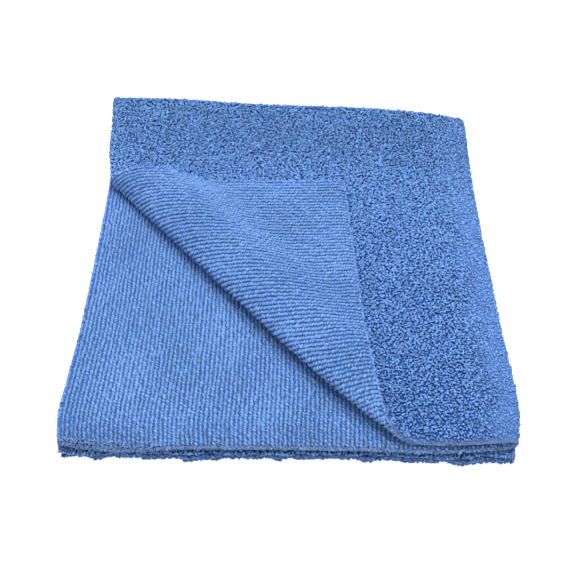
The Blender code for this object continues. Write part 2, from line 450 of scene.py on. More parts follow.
@dataclass
class FoldedCloth:
    """The cloth's middle surface: cut flat, folded in quarters, one corner turned back.

    Attributes:
        width: the flat cloth's size along u.
        length: its size along v.
        thickness: pile, backing and loops together.
        pitch: from the middle of one layer to the middle of the next.
        pressed: the share of its thickness that the cloth gives up in a tight bend.
        droop: how far the front cut edges of the upper three layers hang down.
        droop_reach: how far from those edges the cloth starts to hang.
        third_droop: the third layer's share of that droop.
        ragged: how unevenly the lower two layers are cut.
        ragged_reach: the share of a layer's depth over which that unevenness is lost.
        cut: the uneven line that those layers are cut along.
        layers_apart: how far apart on that line the two layers are read, so that they differ.
        waver: how far the wear of the right fold strays from an even width.
        wear: the uneven line that it follows.
        probe: how far to each side of a point its directions are measured.
    """

    width: float = CLOTH_WIDTH
    length: float = CLOTH_LENGTH
    thickness: float = 4.2
    pitch: float = 4.6
    pressed: float = 0.3
    droop: float = 1.3
    droop_reach: float = 4.5
    third_droop: float = 0.5
    ragged: float = 1.0
    ragged_reach: float = 0.05
    cut: Ripple = Ripple(size=14, seed=9)
    layers_apart: float = 60.0
    waver: float = 5.0
    wear: Ripple = Ripple(size=22, seed=6)
    probe: float = 0.05

    def __post_init__(self) -> None:
        """Work out the folds' sizes and stand the cloth in the middle of the CAD box."""
        self.hairpin = self.pitch / 2
        self.pair = self.pitch
        self.outer = self.pair + self.hairpin
        self.middle = self.thickness / 2 + self.outer
        self.hairpin_length = pi * self.hairpin
        self.pair_length = pi * self.pair
        self.flat_across = (self.width - self.hairpin_length) / 2
        self.flat_along = (self.length - self.pair_length) / 2
        self.roll = Roll(resting=self.pitch)
        self.shift = np.zeros(3)
        columns = np.linspace(0, self.width, int(self.width))
        rows = np.linspace(0, self.length, int(self.length))
        u, v = (grid.ravel() for grid in np.meshgrid(columns, rows))
        place, _, _, normal = self.frames(u, v)
        half = (self.thickness / 2 * self.squeeze(u, v))[:, None]
        skin = np.concatenate([place + normal * half, place - normal * half])
        box_middle = (np.array(cad_low) + np.array(cad_high)) / 2 / MM
        self.shift = box_middle - (skin.min(0) + skin.max(0)) / 2
        self.shift[2] = cad_low.z / MM

    @staticmethod
    def along_fold(distance: Array, flat: float, bend: float) -> tuple[Array, Array]:
        """Read a distance over a flat run, a bend and a flat run back.

        Args:
            distance: from the cut edge.
            flat: the length of each flat run.
            bend: the length of the bend between them.

        Returns:
            The share of the flat run, and the angle turned in the bend.
        """
        angle = pi * np.clip((distance - flat) / bend, 0, 1)
        out = distance / flat
        back = 1 - (distance - flat - bend) / flat
        return np.where(distance <= flat, out, np.where(distance < flat + bend, 1.0, back)), angle

    def swell(self, x: Array, y: Array) -> Array:
        """Return how far the top layer swells up at each point."""
        return sum(
            swell.height * np.exp(-((x - swell.x) ** 2 + (y - swell.y) ** 2) / swell.radius**2)
            for swell in SWELLS
        )

    def of_layers(self, rows: tuple, place: Array, inner: Array, lower: Array) -> Array:
        """Read an edge table for points whose shares of the inner and lower layers are given."""
        top, second, third, bottom = (read_table(rows, layer.value, place) for layer in Layer)
        return mix(mix(top, bottom, lower), mix(second, third, lower), inner)

    def quarters(self, u: Array, v: Array) -> tuple[Array, Array, Array]:
        """Fold points of the flat cloth in quarters, the corner not yet turned.

        Args:
            u: across the flat cloth.
            v: along the flat cloth.

        Returns:
            x, y and z of each point in the stack.
        """
        across, hairpin_angle = self.along_fold(u, self.flat_across, self.hairpin_length)
        along, pair_angle = self.along_fold(v, self.flat_along, self.pair_length)
        inner, lower = hairpin_angle / pi, pair_angle / pi
        rough_x = (across - 0.5) * self.width / 2
        rough_y = along * self.length / 2
        front = self.of_layers(FRONT_EDGES, rough_x, inner, lower)
        bend_centre = read_table(BACK_FOLD, "y", rough_x) - self.outer
        radius = self.pair + self.hairpin * np.cos(hairpin_angle)
        uneven = self.cut.at(rough_x, self.layers_apart * inner)
        uneven = uneven * lower * rise(along, self.ragged_reach, 0)
        y = mix(front, bend_centre, along) + radius * np.sin(pair_angle) + self.ragged * uneven
        z = self.middle + radius * np.cos(pair_angle)
        left = self.of_layers(LEFT_EDGES, rough_y, inner, lower)
        right = read_table(RIGHT_FOLD, "x", rough_y) - self.hairpin
        x = mix(left, right, across) + self.hairpin * np.sin(hairpin_angle)
        height_share = (z - self.thickness / 2) / (2 * self.outer)
        hanging = np.clip(1 - np.minimum(v, self.length - v) / self.droop_reach, 0, 1) ** 2
        hanging = hanging * np.where(v < self.length / 2, 1, self.third_droop * inner)
        return x, y, z + height_share * self.swell(x, y) - self.droop * hanging

    def is_layer(self, layer: Layer, u: Array, v: Array) -> Array:
        """Return whether each point of the flat cloth is in a layer, half of each bend included."""
        half = (u < self.width / 2) == (layer in (Layer.TOP, Layer.BOTTOM))
        return half & ((v < self.length / 2) == (layer in (Layer.TOP, Layer.SECOND)))

    def past_line(self, u: Array, v: Array) -> Array:
        """Return how far points of the unturned cloth lie past the corner's line."""
        x, y, _ = self.quarters(u, v)
        return self.roll.past(x, y)

    def place(self, u: Array, v: Array) -> Array:
        """Carry points of the flat cloth to their places on the middle surface of the folded one.

        Args:
            u: across the flat cloth.
            v: along the flat cloth.

        Returns:
            Rows of x, y and z.
        """
        x, y, z = self.quarters(u, v)
        past = self.roll.past(x, y)
        turned = self.is_layer(Layer.TOP, u, v) & (past > 0)
        reach, lift = self.roll.carry(past, self.roll.size_at(x, y))
        reach = reach + self.roll.bow(past, self.roll.share_at(x, y))
        step = (reach - past) / -sqrt(2)
        new_x, new_y = x + step, y + step
        new_z = z + lift + self.swell(new_x, new_y) - self.swell(x, y)
        spot = np.where(turned, (new_x, new_y, new_z), (x, y, z)).T
        return spot + self.shift

    def frames(self, u: Array, v: Array) -> tuple[Array, Array, Array, Array]:
        """Work out the cloth's place and directions at points of the flat cloth.

        Args:
            u: across the flat cloth.
            v: along the flat cloth.

        Returns:
            The places, the unit directions across and along, and the normal on the pile side.
        """
        across = self.place(u + self.probe, v) - self.place(u - self.probe, v)
        along = self.place(u, v + self.probe) - self.place(u, v - self.probe)
        across /= np.linalg.norm(across, axis=1, keepdims=True)
        normal = np.cross(across, along)
        normal /= np.linalg.norm(normal, axis=1, keepdims=True)
        return self.place(u, v), across, np.cross(normal, across), normal

    def squeeze(self, u: Array, v: Array) -> Array:
        """Work out how far tight bends press the cloth's pile together.

        Args:
            u: across the flat cloth.
            v: along the flat cloth.

        Returns:
            The share of its thickness that the cloth keeps.
        """
        _, hairpin_angle = self.along_fold(u, self.flat_across, self.hairpin_length)
        _, pair_angle = self.along_fold(v, self.flat_along, self.pair_length)
        tight = np.maximum(np.sin(hairpin_angle), hairpin_angle / pi * np.sin(pair_angle))
        return 1 - self.pressed * tight

    def border(self, u: Array, v: Array) -> Array:
        """Return how far points of the flat cloth lie from its cut edge."""
        return np.minimum(np.minimum(u, self.width - u), np.minimum(v, self.length - v))

    def from_right_fold(self, u: Array, v: Array) -> Array:
        """Return how far points lie from the right fold's middle, as its uneven wear counts it."""
        return np.abs(u - self.width / 2) + self.waver * self.wear.at(u, v)


# ---------------------------------------------------------------------------------------------
# Finishes
# ---------------------------------------------------------------------------------------------


def linear(hex_colour: str) -> tuple[float, float, float, float]:
    """Turn an sRGB colour such as "7fa6eb" into linear values with full alpha."""
    parts = [int(hex_colour[i : i + 2], 16) / 255 for i in (0, 2, 4)]
    return (*(c / 12.92 if c <= 0.04045 else ((c + 0.055) / 1.055) ** 2.4 for c in parts), 1.0)


def add_node(
    tree: bpy.types.NodeTree, kind: str, links: dict | None = None, **settings: object
) -> bpy.types.Node:
    """Add a shader node, set it and feed its inputs.

    Args:
        tree: the node tree that it goes in.
        kind: the node's type name.
        links: for each input, a constant or the output socket that feeds it.
        settings: the node's own properties.

    Returns:
        The new node.
    """
    node = tree.nodes.new(kind)
    for name, value in settings.items():
        setattr(node, name, value)
    for socket, value in (links or {}).items():
        if isinstance(value, bpy.types.NodeSocket):
            tree.links.new(value, node.inputs[socket])
        else:
            node.inputs[socket].default_value = value
    return node


@dataclass(frozen=True)
class MicrofibreFinish:
    """A microfibre surface: split polyester and polyamide fibres, dyed one blue.

    Attributes:
        name: the material's name.
        deep: the colour at the root of a tuft or loop, where fibres shade each other.
        body: the colour half way up.
        lit: the colour of the outermost fibres.
        fibre: the spacing of the fibre bundles that the bump draws.
        relief: how deep that bump is.
        sheen: how much light the split fibre ends throw back at a grazing angle.
        tone: how far the colour differs from one tuft or loop to the next.
        mottle: how far it differs from one fibre bundle to the next.
        seared: the colour that the heat of the cut leaves at the edge.
        roughness: how matt the fibres are.
    """

    name: str
    deep: str
    body: str
    lit: str
    fibre: float
    relief: float
    sheen: float
    tone: float
    mottle: float
    seared: str = "5e7aa4"
    roughness: float = 0.92

    def build(self) -> bpy.types.Material:
        """Build the material.

        Returns:
            A material that reads the attributes "height", "tone" and "seared" of its piece.
        """
        material = bpy.data.materials.new(self.name)
        material.use_nodes = True
        tree = material.node_tree
        tree.nodes.clear()
        height, tone, seared = (
            add_node(tree, "ShaderNodeAttribute", attribute_name=name)
            for name in ("height", "tone", "seared")
        )
        coordinates = add_node(tree, "ShaderNodeTexCoord")
        fibres = add_node(
            tree,
            "ShaderNodeTexNoise",
            {
                "Vector": coordinates.outputs["Object"],
                "Scale": 1 / (self.fibre * MM),
                "Detail": 2.0,
            },
        )
        # Painted shade and light: the ramp gives the deep colour at height 0, the root of a tuft or
        # loop, and the lit colour at 1, its top.
        ramp = add_node(tree, "ShaderNodeValToRGB", {"Fac": height.outputs["Fac"]})
        ramp.color_ramp.elements[0].color = linear(self.deep)
        ramp.color_ramp.elements[1].color = linear(self.lit)
        ramp.color_ramp.elements.new(0.5).color = linear(self.body)
        drift = add_node(
            tree,
            "ShaderNodeMath",
            {0: tone.outputs["Fac"], 1: self.tone, 2: 1 - self.mottle / 2},
            operation="MULTIPLY_ADD",
        )
        mottled = add_node(
            tree,
            "ShaderNodeMath",
            {0: fibres.outputs["Fac"], 1: self.mottle, 2: drift.outputs["Value"]},
            operation="MULTIPLY_ADD",
        )
        dyed = add_node(
            tree,
            "ShaderNodeMixRGB",
            {
                "Fac": seared.outputs["Fac"],
                "Color1": ramp.outputs["Color"],
                "Color2": linear(self.seared),
            },
        )
        toned = add_node(
            tree,
            "ShaderNodeHueSaturation",
            {"Color": dyed.outputs["Color"], "Value": mottled.outputs["Value"]},
        )
        bump = add_node(
            tree,
            "ShaderNodeBump",
            {"Height": fibres.outputs["Fac"], "Strength": 0.8, "Distance": self.relief * MM},
        )
        shader = add_node(
            tree,
            "ShaderNodeBsdfPrincipled",
            {
                "Base Color": toned.outputs["Color"],
                "Normal": bump.outputs["Normal"],
                "Roughness": self.roughness,
                "Specular IOR Level": 0.1,
                "Sheen Weight": self.sheen,
                "Sheen Roughness": 0.45,
                "Sheen Tint": linear(self.lit),
            },
        )
        add_node(tree, "ShaderNodeOutputMaterial", {"Surface": shader.outputs["BSDF"]})
        return material


# Long curly pile of cut yarn. Its tips catch the light and its roots are in deep shade, which the
# eye reads as bright curls with dark gaps between them. Real fibres are hundredths of a millimetre
# thick, too fine to show, so a tuft stands for a lock of them and the bump for bundles 1 mm apart.
LONG_PILE = MicrofibreFinish(
    name="microfibre_long_pile",
    deep="19408c",
    body="507dbe",
    lit="749cd0",
    fibre=1.0,
    relief=0.2,
    sheen=0.12,
    tone=0.15,
    mottle=0.8,
)

# Short warp-knitted loops. Their rounded tops are evenly lit, so the ribs look smoother than pile.
# One loop stands for the few yarns of a real one, and the bump for their bundles 0.8 mm apart.
RIBBED_LOOPS = MicrofibreFinish(
    name="microfibre_ribbed_loops",
    deep="4973b2",
    body="5c83ba",
    lit="6b8dbe",
    fibre=0.8,
    relief=0.3,
    sheen=0.12,
    tone=0.12,
    mottle=1.1,
)

# The knitted ground that both sides are tied into. Its colour is painted shade: dark where it shows
# between tufts and loops, and paler where the pile over it is matted or pressed flat and shades it
# less.
KNITTED_GROUND = MicrofibreFinish(
    name="microfibre_knitted_ground",
    deep="1a3b80",
    body="4d7abe",
    lit="6b98d4",
    fibre=0.8,
    relief=0.15,
    sheen=0.1,
    tone=0.1,
    mottle=0.8,
    seared="546d94",
)

# The hot-cut edge. Its fused fibres lie flat, so the eye sees a smooth pale band without ribs.
FUSED_EDGE = MicrofibreFinish(
    name="microfibre_fused_edge",
    deep="4f78b8",
    body="648cc8",
    lit="749cd4",
    fibre=1.1,
    relief=0.2,
    sheen=0.1,
    tone=0.16,
    mottle=1.4,
    roughness=0.8,
)


# ---------------------------------------------------------------------------------------------
# Pieces
# ---------------------------------------------------------------------------------------------


@dataclass
class Gathered:
    """Vertices, faces and surface values gathered for one piece before its mesh is made.

    Attributes:
        name: the piece's name.
        points: blocks of vertices, in millimetres.
        faces: every face, as the numbers of its vertices.
        heights: each vertex's place on the colours, from painted shade at 0 to painted light at 1:
            from the root of a tuft or loop to its top, or how deep the ground lies in shade.
        tones: how much paler or darker each vertex is than the rest, about -1 to 1.
        flats: each vertex's u and v on the flat cloth.
        count: how many vertices there are so far.
    """

    name: str
    points: list[Array] = field(default_factory=list)
    faces: list[list[int]] = field(default_factory=list)
    heights: list[Array] = field(default_factory=list)
    tones: list[Array] = field(default_factory=list)
    flats: list[Array] = field(default_factory=list)
    count: int = 0

    def add(self, points: Array, faces: Array, height: Array, tone: Array, flat: Array) -> None:
        """Add a block of vertices and faces.

        Args:
            points: rows of x, y and z.
            faces: rows of indices into this block.
            height: its place on the colours, from painted shade at 0, as at the root of a tuft or
                loop, to painted light at 1, as at its top.
            tone: how much paler or darker than the rest, about -1 to 1.
            flat: each vertex's u and v on the flat cloth.
        """
        self.points.append(points)
        self.faces.extend((faces + self.count).tolist())
        self.heights.append(height)
        self.tones.append(tone)
        self.flats.append(flat)
        self.count += len(points)

    def make(self, finish: bpy.types.Material) -> bpy.types.Object:
        """Make the piece's object, in metres, with a UV map that is the flat cloth.

        Args:
            finish: the material that it wears.

        Returns:
            The new object, at the origin.
        """
        data = bpy.data.meshes.new(self.name)
        data.from_pydata((np.concatenate(self.points) * MM).tolist(), [], self.faces)
        flat = np.concatenate(self.flats)
        for name, values in (
            ("height", np.concatenate(self.heights)),
            ("tone", np.concatenate(self.tones)),
            ("seared", SEARING.share_at(*flat.T)),
        ):
            layer = data.attributes.new(name, "FLOAT", "POINT")
            layer.data.foreach_set("value", values.astype(np.float32))
        corners = np.zeros(len(data.loops), np.int32)
        data.loops.foreach_get("vertex_index", corners)
        places = (flat[corners] * MM).astype(np.float32)
        data.uv_layers.new(name="flat_cloth").data.foreach_set("uv", places.ravel())
        data.shade_smooth()
        data.materials.append(finish)
        piece = bpy.data.objects.new(self.name, data)
        bpy.context.scene.collection.objects.link(piece)
        return piece


@dataclass
class GroundSheet:
    """The knitted ground, one closed sheet over the whole cloth.

    Attributes:
        cloth: the fold that it follows.
        rib_side: how far it reaches from the middle towards the loops.
        pile_side: how far it reaches towards the pile.
        at_fold: how far it does so at the right fold, where the pile lies matted down.
        pressed_side: how far it reaches on the underside, where the pile is pressed flat.
        rim: the share of its thickness that is left at the cut edge.
        rounded: how far inside the cut edge it gets thicker from, below 0 for outside, and up to.
        pressed_over: how far the pressed underside takes to set in.
        matted: how far from the right fold the pile starts to lie matted, and where it all does.
        fine: its grid on the side where the corner is turned.
        coarse: its grid on the side that lies flat.
        bend_steps: its steps round the right fold, and round the back fold.
        dark: its painted shade under standing pile, as a height on its colours from 0 to 1.
        matted_paler: how much less painted shade it has under matted pile.
        pressed_paler: how much less painted shade it has under pressed pile.
        rib_colour: its painted shade under the loops, as a height.
        drift: how its tone drifts over the cloth.
    """

    cloth: FoldedCloth
    rib_side: float = 1.15
    pile_side: float = 0.4
    at_fold: float = 0.95
    pressed_side: float = 1.9
    rim: float = 0.6
    rounded: tuple[float, float] = (-1.0, 2.0)
    pressed_over: float = 8.0
    matted: tuple[float, float] = (22.0, 6.0)
    fine: float = 3.2
    coarse: float = 6.0
    bend_steps: tuple[int, int] = (10, 16)
    dark: float = 0.05
    matted_paler: float = 0.3
    pressed_paler: float = 0.6
    rib_colour: float = 0.28
    drift: Ripple = Ripple(size=30, seed=5)

    def stops(self, size: float, flat: float, bend: float, steps: int) -> Array:
        """Work out the grid's places along one side: fine, then close in the bend, then coarse.

        Args:
            size: the flat cloth's size along that side.
            flat: the length of each of its flat runs.
            bend: the length of the bend between them.
            steps: how many steps the bend is made in.

        Returns:
            The places, in rising order.
        """
        out = np.linspace(0, flat, int(flat / self.fine) + 1)
        over = np.linspace(flat, flat + bend, steps + 1)[1:-1]
        back = np.linspace(flat + bend, size, int(flat / self.coarse) + 1)
        return np.concatenate([out, over, back])

    def build(self, finish: bpy.types.Material) -> bpy.types.Object:
        """Build the sheet as two grids joined round the cut edge.

        Args:
            finish: the material that it wears.

        Returns:
            The piece's object.
        """
        cloth = self.cloth
        hairpin_steps, pair_steps = self.bend_steps
        across = self.stops(cloth.width, cloth.flat_across, cloth.hairpin_length, hairpin_steps)
        along = self.stops(cloth.length, cloth.flat_along, cloth.pair_length, pair_steps)
        u, v = (grid.ravel() for grid in np.meshgrid(across, along, indexing="ij"))
        place, _, _, normal = cloth.frames(u, v)
        inside = rise(cloth.border(u, v), *self.rounded)
        right, back = cloth.flat_across, cloth.length - cloth.flat_along
        pressed = rise(v, back, back + self.pressed_over)
        pressed = pressed * rise(u, right, right - self.pressed_over) * inside
        matted = rise(cloth.from_right_fold(u, v), *self.matted)
        thickness = cloth.squeeze(u, v) * mix(self.rim, 1, inside)
        up = mix(mix(self.pile_side, self.at_fold, matted), self.pressed_side, pressed) * thickness
        down = self.rib_side * thickness
        points = np.concatenate([place + normal * up[:, None], place - normal * down[:, None]])
        count = len(u)
        index = np.arange(count).reshape(len(across), len(along))
        corners = (index[:-1, :-1], index[1:, :-1], index[1:, 1:], index[:-1, 1:])
        quads = np.stack(corners, -1).reshape(-1, 4)
        rim = np.concatenate([index[:, 0], index[-1, 1:], index[-2::-1, -1], index[0, -2:0:-1]])
        step = np.roll(rim, -1)
        wall = np.stack([step + count, rim + count, rim, step], -1)
        faces = np.concatenate([quads, quads[:, ::-1] + count, wall])
        # Painted shade: darkest under standing pile, paler where matted or pressed pile shades the
        # ground less, and one shade under the loops.
        painted_pile_side_shade = self.dark + self.matted_paler * matted + self.pressed_paler * pressed
        height = np.concatenate([painted_pile_side_shade, np.full(count, self.rib_colour)])
        tone, flat = self.drift.at(u, v), np.stack([u, v], -1)
        gathered = Gathered("ground_sheet")
        gathered.add(points, faces, height, np.tile(tone, 2), np.tile(flat, (2, 1)))
        return gathered.make(finish)


def strand_faces(here: Array, ahead: Array) -> Array:
    """Join each ring of a strand to the one that follows it.

    Args:
        here: the numbers of each ring's vertices.
        ahead: the same of the ring that follows it.

    Returns:
        Rows of four vertex numbers.
    """
    faces = [here, ahead, np.roll(ahead, -1, axis=1), np.roll(here, -1, axis=1)]
    return np.stack(faces, -1).reshape(-1, 4)


@dataclass
class RibPanel:
    """Rows of knitted loops over a part of the cloth's ribbed side.

    Attributes:
        cloth: the fold that they follow.
        count: how many ribs there are across the cloth.
        loop: the length of one loop along a rib.
        rings_per_loop: how many rings of vertices shape one loop.
        sides: how many sides a ring has.
        fewest_rings: how many rings a rib has at the least.
        width: a rib's width at a loop's middle.
        depth: a rib's height from root to top.
        middle: how far the rib's middle lies from the cloth's middle.
        slant: how far a loop leans along the rib, for each millimetre across it.
        margin: how much of the cut edge beside the first rib and the last has no loops.
        starts: between which distances from the front cut a rib may start.
        neck: the share of its size that a rib keeps between two loops.
        belly: what the middle of a loop adds to that share.
        end_sizes: the shares of its size at a rib's last ring, and at the ring before it.
        stagger: how far to one side every other loop lies.
        sway_spread: how far loops stray to the sides.
        plump_spread: how far they differ in size, as a share of it.
        lift_spread: how far they differ in height.
        tone_spread: how far they differ in tone.
        seed: which set of those differences is drawn.
        spare: how many more of them than its loops or rings a rib has, so that none runs out.
        low_at_edge: the share of its height that a rib has at the cut edge.
        edge: how far from the cut edge it has all of it.
        wander: the line that a rib wanders along.
        wander_by: how far it wanders.
        drift: how size and tone drift over the cloth.
        drift_size: how much of that drift the size takes.
        drift_tone: how much of it the tone takes.
        fuzz_size: how far the size differs from one ring to the next.
        fuzz_tone: how far the tone does.
        fuzz_limit: the most of that, before neighbours are set apart.
        dark_neck: painted shade between two loops: how far up its colours a rib gets there, as a
            share.
        shaded: how far in from its front edge the second layer lies in shade.
        shade: how much darker it is there.
    """

    cloth: FoldedCloth
    count: int = 208
    loop: float = 1.33
    rings_per_loop: int = 3
    sides: int = 4
    fewest_rings: int = 4
    width: float = 2.1
    depth: float = 1.5
    middle: float = 1.25
    slant: float = 0.45
    margin: float = 1.2
    starts: tuple[float, float] = (0.3, 1.0)
    neck: float = 0.7
    belly: float = 0.34
    end_sizes: tuple[float, float] = (0.55, 0.85)
    stagger: float = 0.17
    sway_spread: float = 0.13
    plump_spread: float = 0.12
    lift_spread: float = 0.13
    tone_spread: float = 0.5
    seed: int = 7
    spare: int = 3
    low_at_edge: float = 0.75
    edge: float = 5.0
    wander: Ripple = Ripple(size=14, seed=3)
    wander_by: float = 0.2
    drift: Ripple = Ripple(size=34, seed=4)
    drift_size: float = 0.05
    drift_tone: float = 0.5
    fuzz_size: float = 0.08
    fuzz_tone: float = 1.7
    fuzz_limit: float = 2.0
    dark_neck: float = 0.3
    shaded: Stretch = (0.5, 3.0, 5.0, 14.0)
    shade: float = 0.9

    def __post_init__(self) -> None:
        """Draw how each loop differs from the next."""
        random = np.random.default_rng(self.seed)
        self.loops = int(self.cloth.length / self.loop) + self.spare
        shape = (self.count, self.loops)
        stagger = np.where(np.arange(self.loops) % 2, self.stagger, -self.stagger)
        self.sway = stagger + random.normal(0, self.sway_spread, shape)
        self.plump = random.normal(1.0, self.plump_spread, shape)
        self.lift = random.normal(0, self.lift_spread, shape)
        self.tone = self.sharpen(random.normal(0, self.tone_spread, shape))
        self.first = random.uniform(*self.starts, self.count)
        rings = int(self.cloth.length / self.loop * self.rings_per_loop) + self.spare
        fuzz = random.normal(0, 1, (self.count, rings))
        self.fuzz = self.sharpen(fuzz.clip(-self.fuzz_limit, self.fuzz_limit))

    @staticmethod
    def sharpen(noise: Array) -> Array:
        """Take the mean of each entry's four neighbours from it, so that neighbours differ more."""
        around = sum(np.roll(noise, step, axis) for step in (-1, 1) for axis in (0, 1))
        return noise - around / 4

    def build(
        self, name: str, covers: Callable[[Array, Array], Array], finish: bpy.types.Material
    ) -> bpy.types.Object:
        """Build one panel of ribs.

        Args:
            name: the piece's name.
            covers: a function of u and v that says where the panel shows.
            finish: the material that it wears.

        Returns:
            The panel's object.
        """
        pitch = self.cloth.width / self.count
        ribs = (np.arange(self.count) + 0.5) * pitch
        step = self.loop / self.rings_per_loop
        rings = np.arange(0, self.cloth.length, step)
        u, v = np.meshgrid(ribs, rings, indexing="ij")
        shown = covers(u.ravel(), v.ravel()).reshape(u.shape)
        shown &= (v > self.first[:, None]) & (v < self.cloth.length - self.first[::-1, None])
        shown &= (u > self.margin) & (u < self.cloth.width - self.margin)
        gathered = Gathered(name)
        for number in range(self.count):
            row = shown[number].astype(int)
            edges = np.flatnonzero(np.diff(np.concatenate([[0], row, [0]])))
            for start, stop in zip(edges[::2], edges[1::2]):
                if stop - start >= self.fewest_rings:
                    self.add_rib(gathered, number, ribs[number], rings[start:stop])
        return gathered.make(finish)

    def add_rib(self, gathered: Gathered, number: int, u: float, v: Array) -> None:
        """Add one rib, a chain of loops, as a closed strand.

        Args:
            gathered: the piece that it goes in.
            number: the rib's number, which sets how its loops differ.
            u: where it lies across the cloth.
            v: its rings' places along the cloth.
        """
        cloth = self.cloth
        phase = v / self.loop
        centres = np.arange(self.loops) + 0.5
        sway, plump, lift, tone = (
            np.interp(phase, centres, table[number])
            for table in (self.sway, self.plump, self.lift, self.tone)
        )
        fuzz = self.fuzz[number, np.rint(phase * self.rings_per_loop).astype(int)]
        line = np.full(len(v), u)
        drift = self.drift.at(line, v)
        full = np.abs(np.sin(pi * phase)) / sin(pi / self.rings_per_loop)
        uneven = 1 + self.drift_size * drift + self.fuzz_size * fuzz
        bead = plump * uneven * (self.neck + self.belly * full)
        taper = np.ones(len(v))
        taper[[0, -1]], taper[[1, -2]] = self.end_sizes
        centre_u = u + sway + self.wander_by * self.wander.at(line, v)
        place, across, along, normal = cloth.frames(centre_u, v)
        squeeze = cloth.squeeze(centre_u, v)[:, None]
        angle = 2 * pi * np.arange(self.sides) / self.sides - pi / 2
        half_width = (self.width / 2 * bead * taper)[:, None] * np.cos(angle)
        half_depth = (self.depth / 2 * bead * taper)[:, None] * -np.sin(angle)
        slant = self.slant * half_width
        settled = mix(self.low_at_edge, 1, rise(cloth.border(centre_u, v), 0, self.edge))
        out = (self.middle * settled + lift)[:, None] + half_depth
        points = (
            place[:, None]
            + across[:, None] * half_width[..., None]
            + along[:, None] * slant[..., None]
            - normal[:, None] * (out * squeeze)[..., None]
        ).reshape(-1, 3)
        index = np.arange(len(v) * self.sides).reshape(len(v), self.sides)
        # Painted shade and light: a rib's colour runs from deep at its root to lit at its top, and
        # is darker in the necks between loops.
        up = (0.5 + half_depth / self.depth) * mix(self.dark_neck, 1, full[:, None])
        tone = tone + self.drift_tone * drift + self.fuzz_tone * fuzz
        if u > cloth.width / 2:
            tone = tone - self.shade * between(v, self.shaded)
        tone = np.repeat(tone, self.sides)
        flat = np.repeat(np.stack([centre_u, v], -1), self.sides, axis=0)
        ends = [(index[0] + gathered.count).tolist(), (index[-1][::-1] + gathered.count).tolist()]
        faces = strand_faces(index[:-1], index[1:])
        gathered.add(points, faces, np.clip(up, 0, 1).ravel(), tone, flat)
        gathered.faces.extend(ends)


@dataclass(frozen=True)
class TuftShape:
    """One curl of yarn: it rises from its root and hooks over towards +X, across the origin.

    Attributes:
        length: the yarn's length from root to tip.
        thickness: its thickness in the middle.
        hook: how far it has turned over at its tip, in radians from upright.
        curl: how far it turns sideways on its way, in radians.
        first_lean: how far it leans at its root, in radians from upright.
        swell: its thickness at even steps from root to tip, as shares of that in the middle.
        section: how far its section's corners lie from its middle, as a share of its thickness.
        merged: how near each other two vertices are made one.
    """

    length: float
    thickness: float
    hook: float
    curl: float
    first_lean: float = 0.1
    swell: tuple[float, ...] = (0.75, 1.1, 1.1, 0.65)
    section: float = 0.64
    merged: float = 0.001

    def add_section(self) -> bpy.types.Object:
        """Add the yarn's three-sided section, which looks round once it is shaded smooth.

        Returns:
            A closed flat curve.
        """
        outline = bpy.data.curves.new("yarn_section", "CURVE")
        corners = outline.splines.new("POLY")
        corners.points.add(2)
        corners.use_cyclic_u = True
        reach = self.section * self.thickness
        for corner, point in enumerate(corners.points):
            angle = pi / 2 + 2 * pi * corner / len(corners.points)
            point.co = (cos(angle) * reach, sin(angle) * reach, 0, 1)
        section = bpy.data.objects.new("yarn_section", outline)
        bpy.context.scene.collection.objects.link(section)
        return section

    def model(self) -> tuple[Array, list, Array]:
        """Model the curl as a bevelled path, made a mesh.

        Returns:
            Its vertices in millimetres, its faces and each vertex's height from 0 to 1.
        """
        section = self.add_section()
        bpy.ops.object.select_all(action="DESELECT")
        bpy.ops.curve.primitive_nurbs_path_add(radius=1, location=(0, 0, 0))
        shape = bpy.context.object.data
        shape.splines.clear()
        path = shape.splines.new("POLY")
        steps = len(self.swell) - 1
        path.points.add(steps)
        spot = np.zeros(3)
        for step, point in enumerate(path.points):
            share = step / (steps - 1)
            point.co = (*spot, 1.0)
            point.radius = self.swell[step]
            lean, turn = mix(self.first_lean, self.hook, share), self.curl * share
            reach = sin(lean) * self.length / steps
            climb = cos(lean) * self.length / steps
            spot = spot + np.array([reach * cos(turn), reach * sin(turn), climb])
        shape.dimensions = "3D"
        shape.bevel_mode = "OBJECT"
        shape.bevel_object = section
        shape.use_fill_caps = True
        bpy.ops.object.convert(target="MESH")
        bpy.ops.object.mode_set(mode="EDIT")
        bpy.ops.mesh.select_all(action="SELECT")
        bpy.ops.mesh.remove_doubles(threshold=self.merged)
        bpy.ops.mesh.normals_make_consistent(inside=False)
        bpy.ops.object.mode_set(mode="OBJECT")
        mesh = bpy.context.object.data
        points = np.array([vertex.co for vertex in mesh.vertices])
        points[:, :2] -= (points[:, :2].min(0) + points[:, :2].max(0)) / 2
        faces = [list(face.vertices) for face in mesh.polygons]
        height = np.clip(points[:, 2] / points[:, 2].max(), 0, 1)
        bpy.data.objects.remove(bpy.context.object)
        bpy.data.objects.remove(section)
        return points, faces, height


def draw_shapes(seed: int, count: int, low: tuple, high: tuple) -> list[tuple[Array, list, Array]]:
    """Model a few tufts whose sizes lie between two limits.

    Args:
        seed: which set is drawn.
        count: how many shapes are modelled.
        low: the least length, thickness, hook and curl.
        high: the most.

    Returns:
        Each tuft's vertices, faces and heights.
    """
    random = np.random.default_rng(seed)
    return [TuftShape(*random.uniform(low, high)).model() for _ in range(count)]


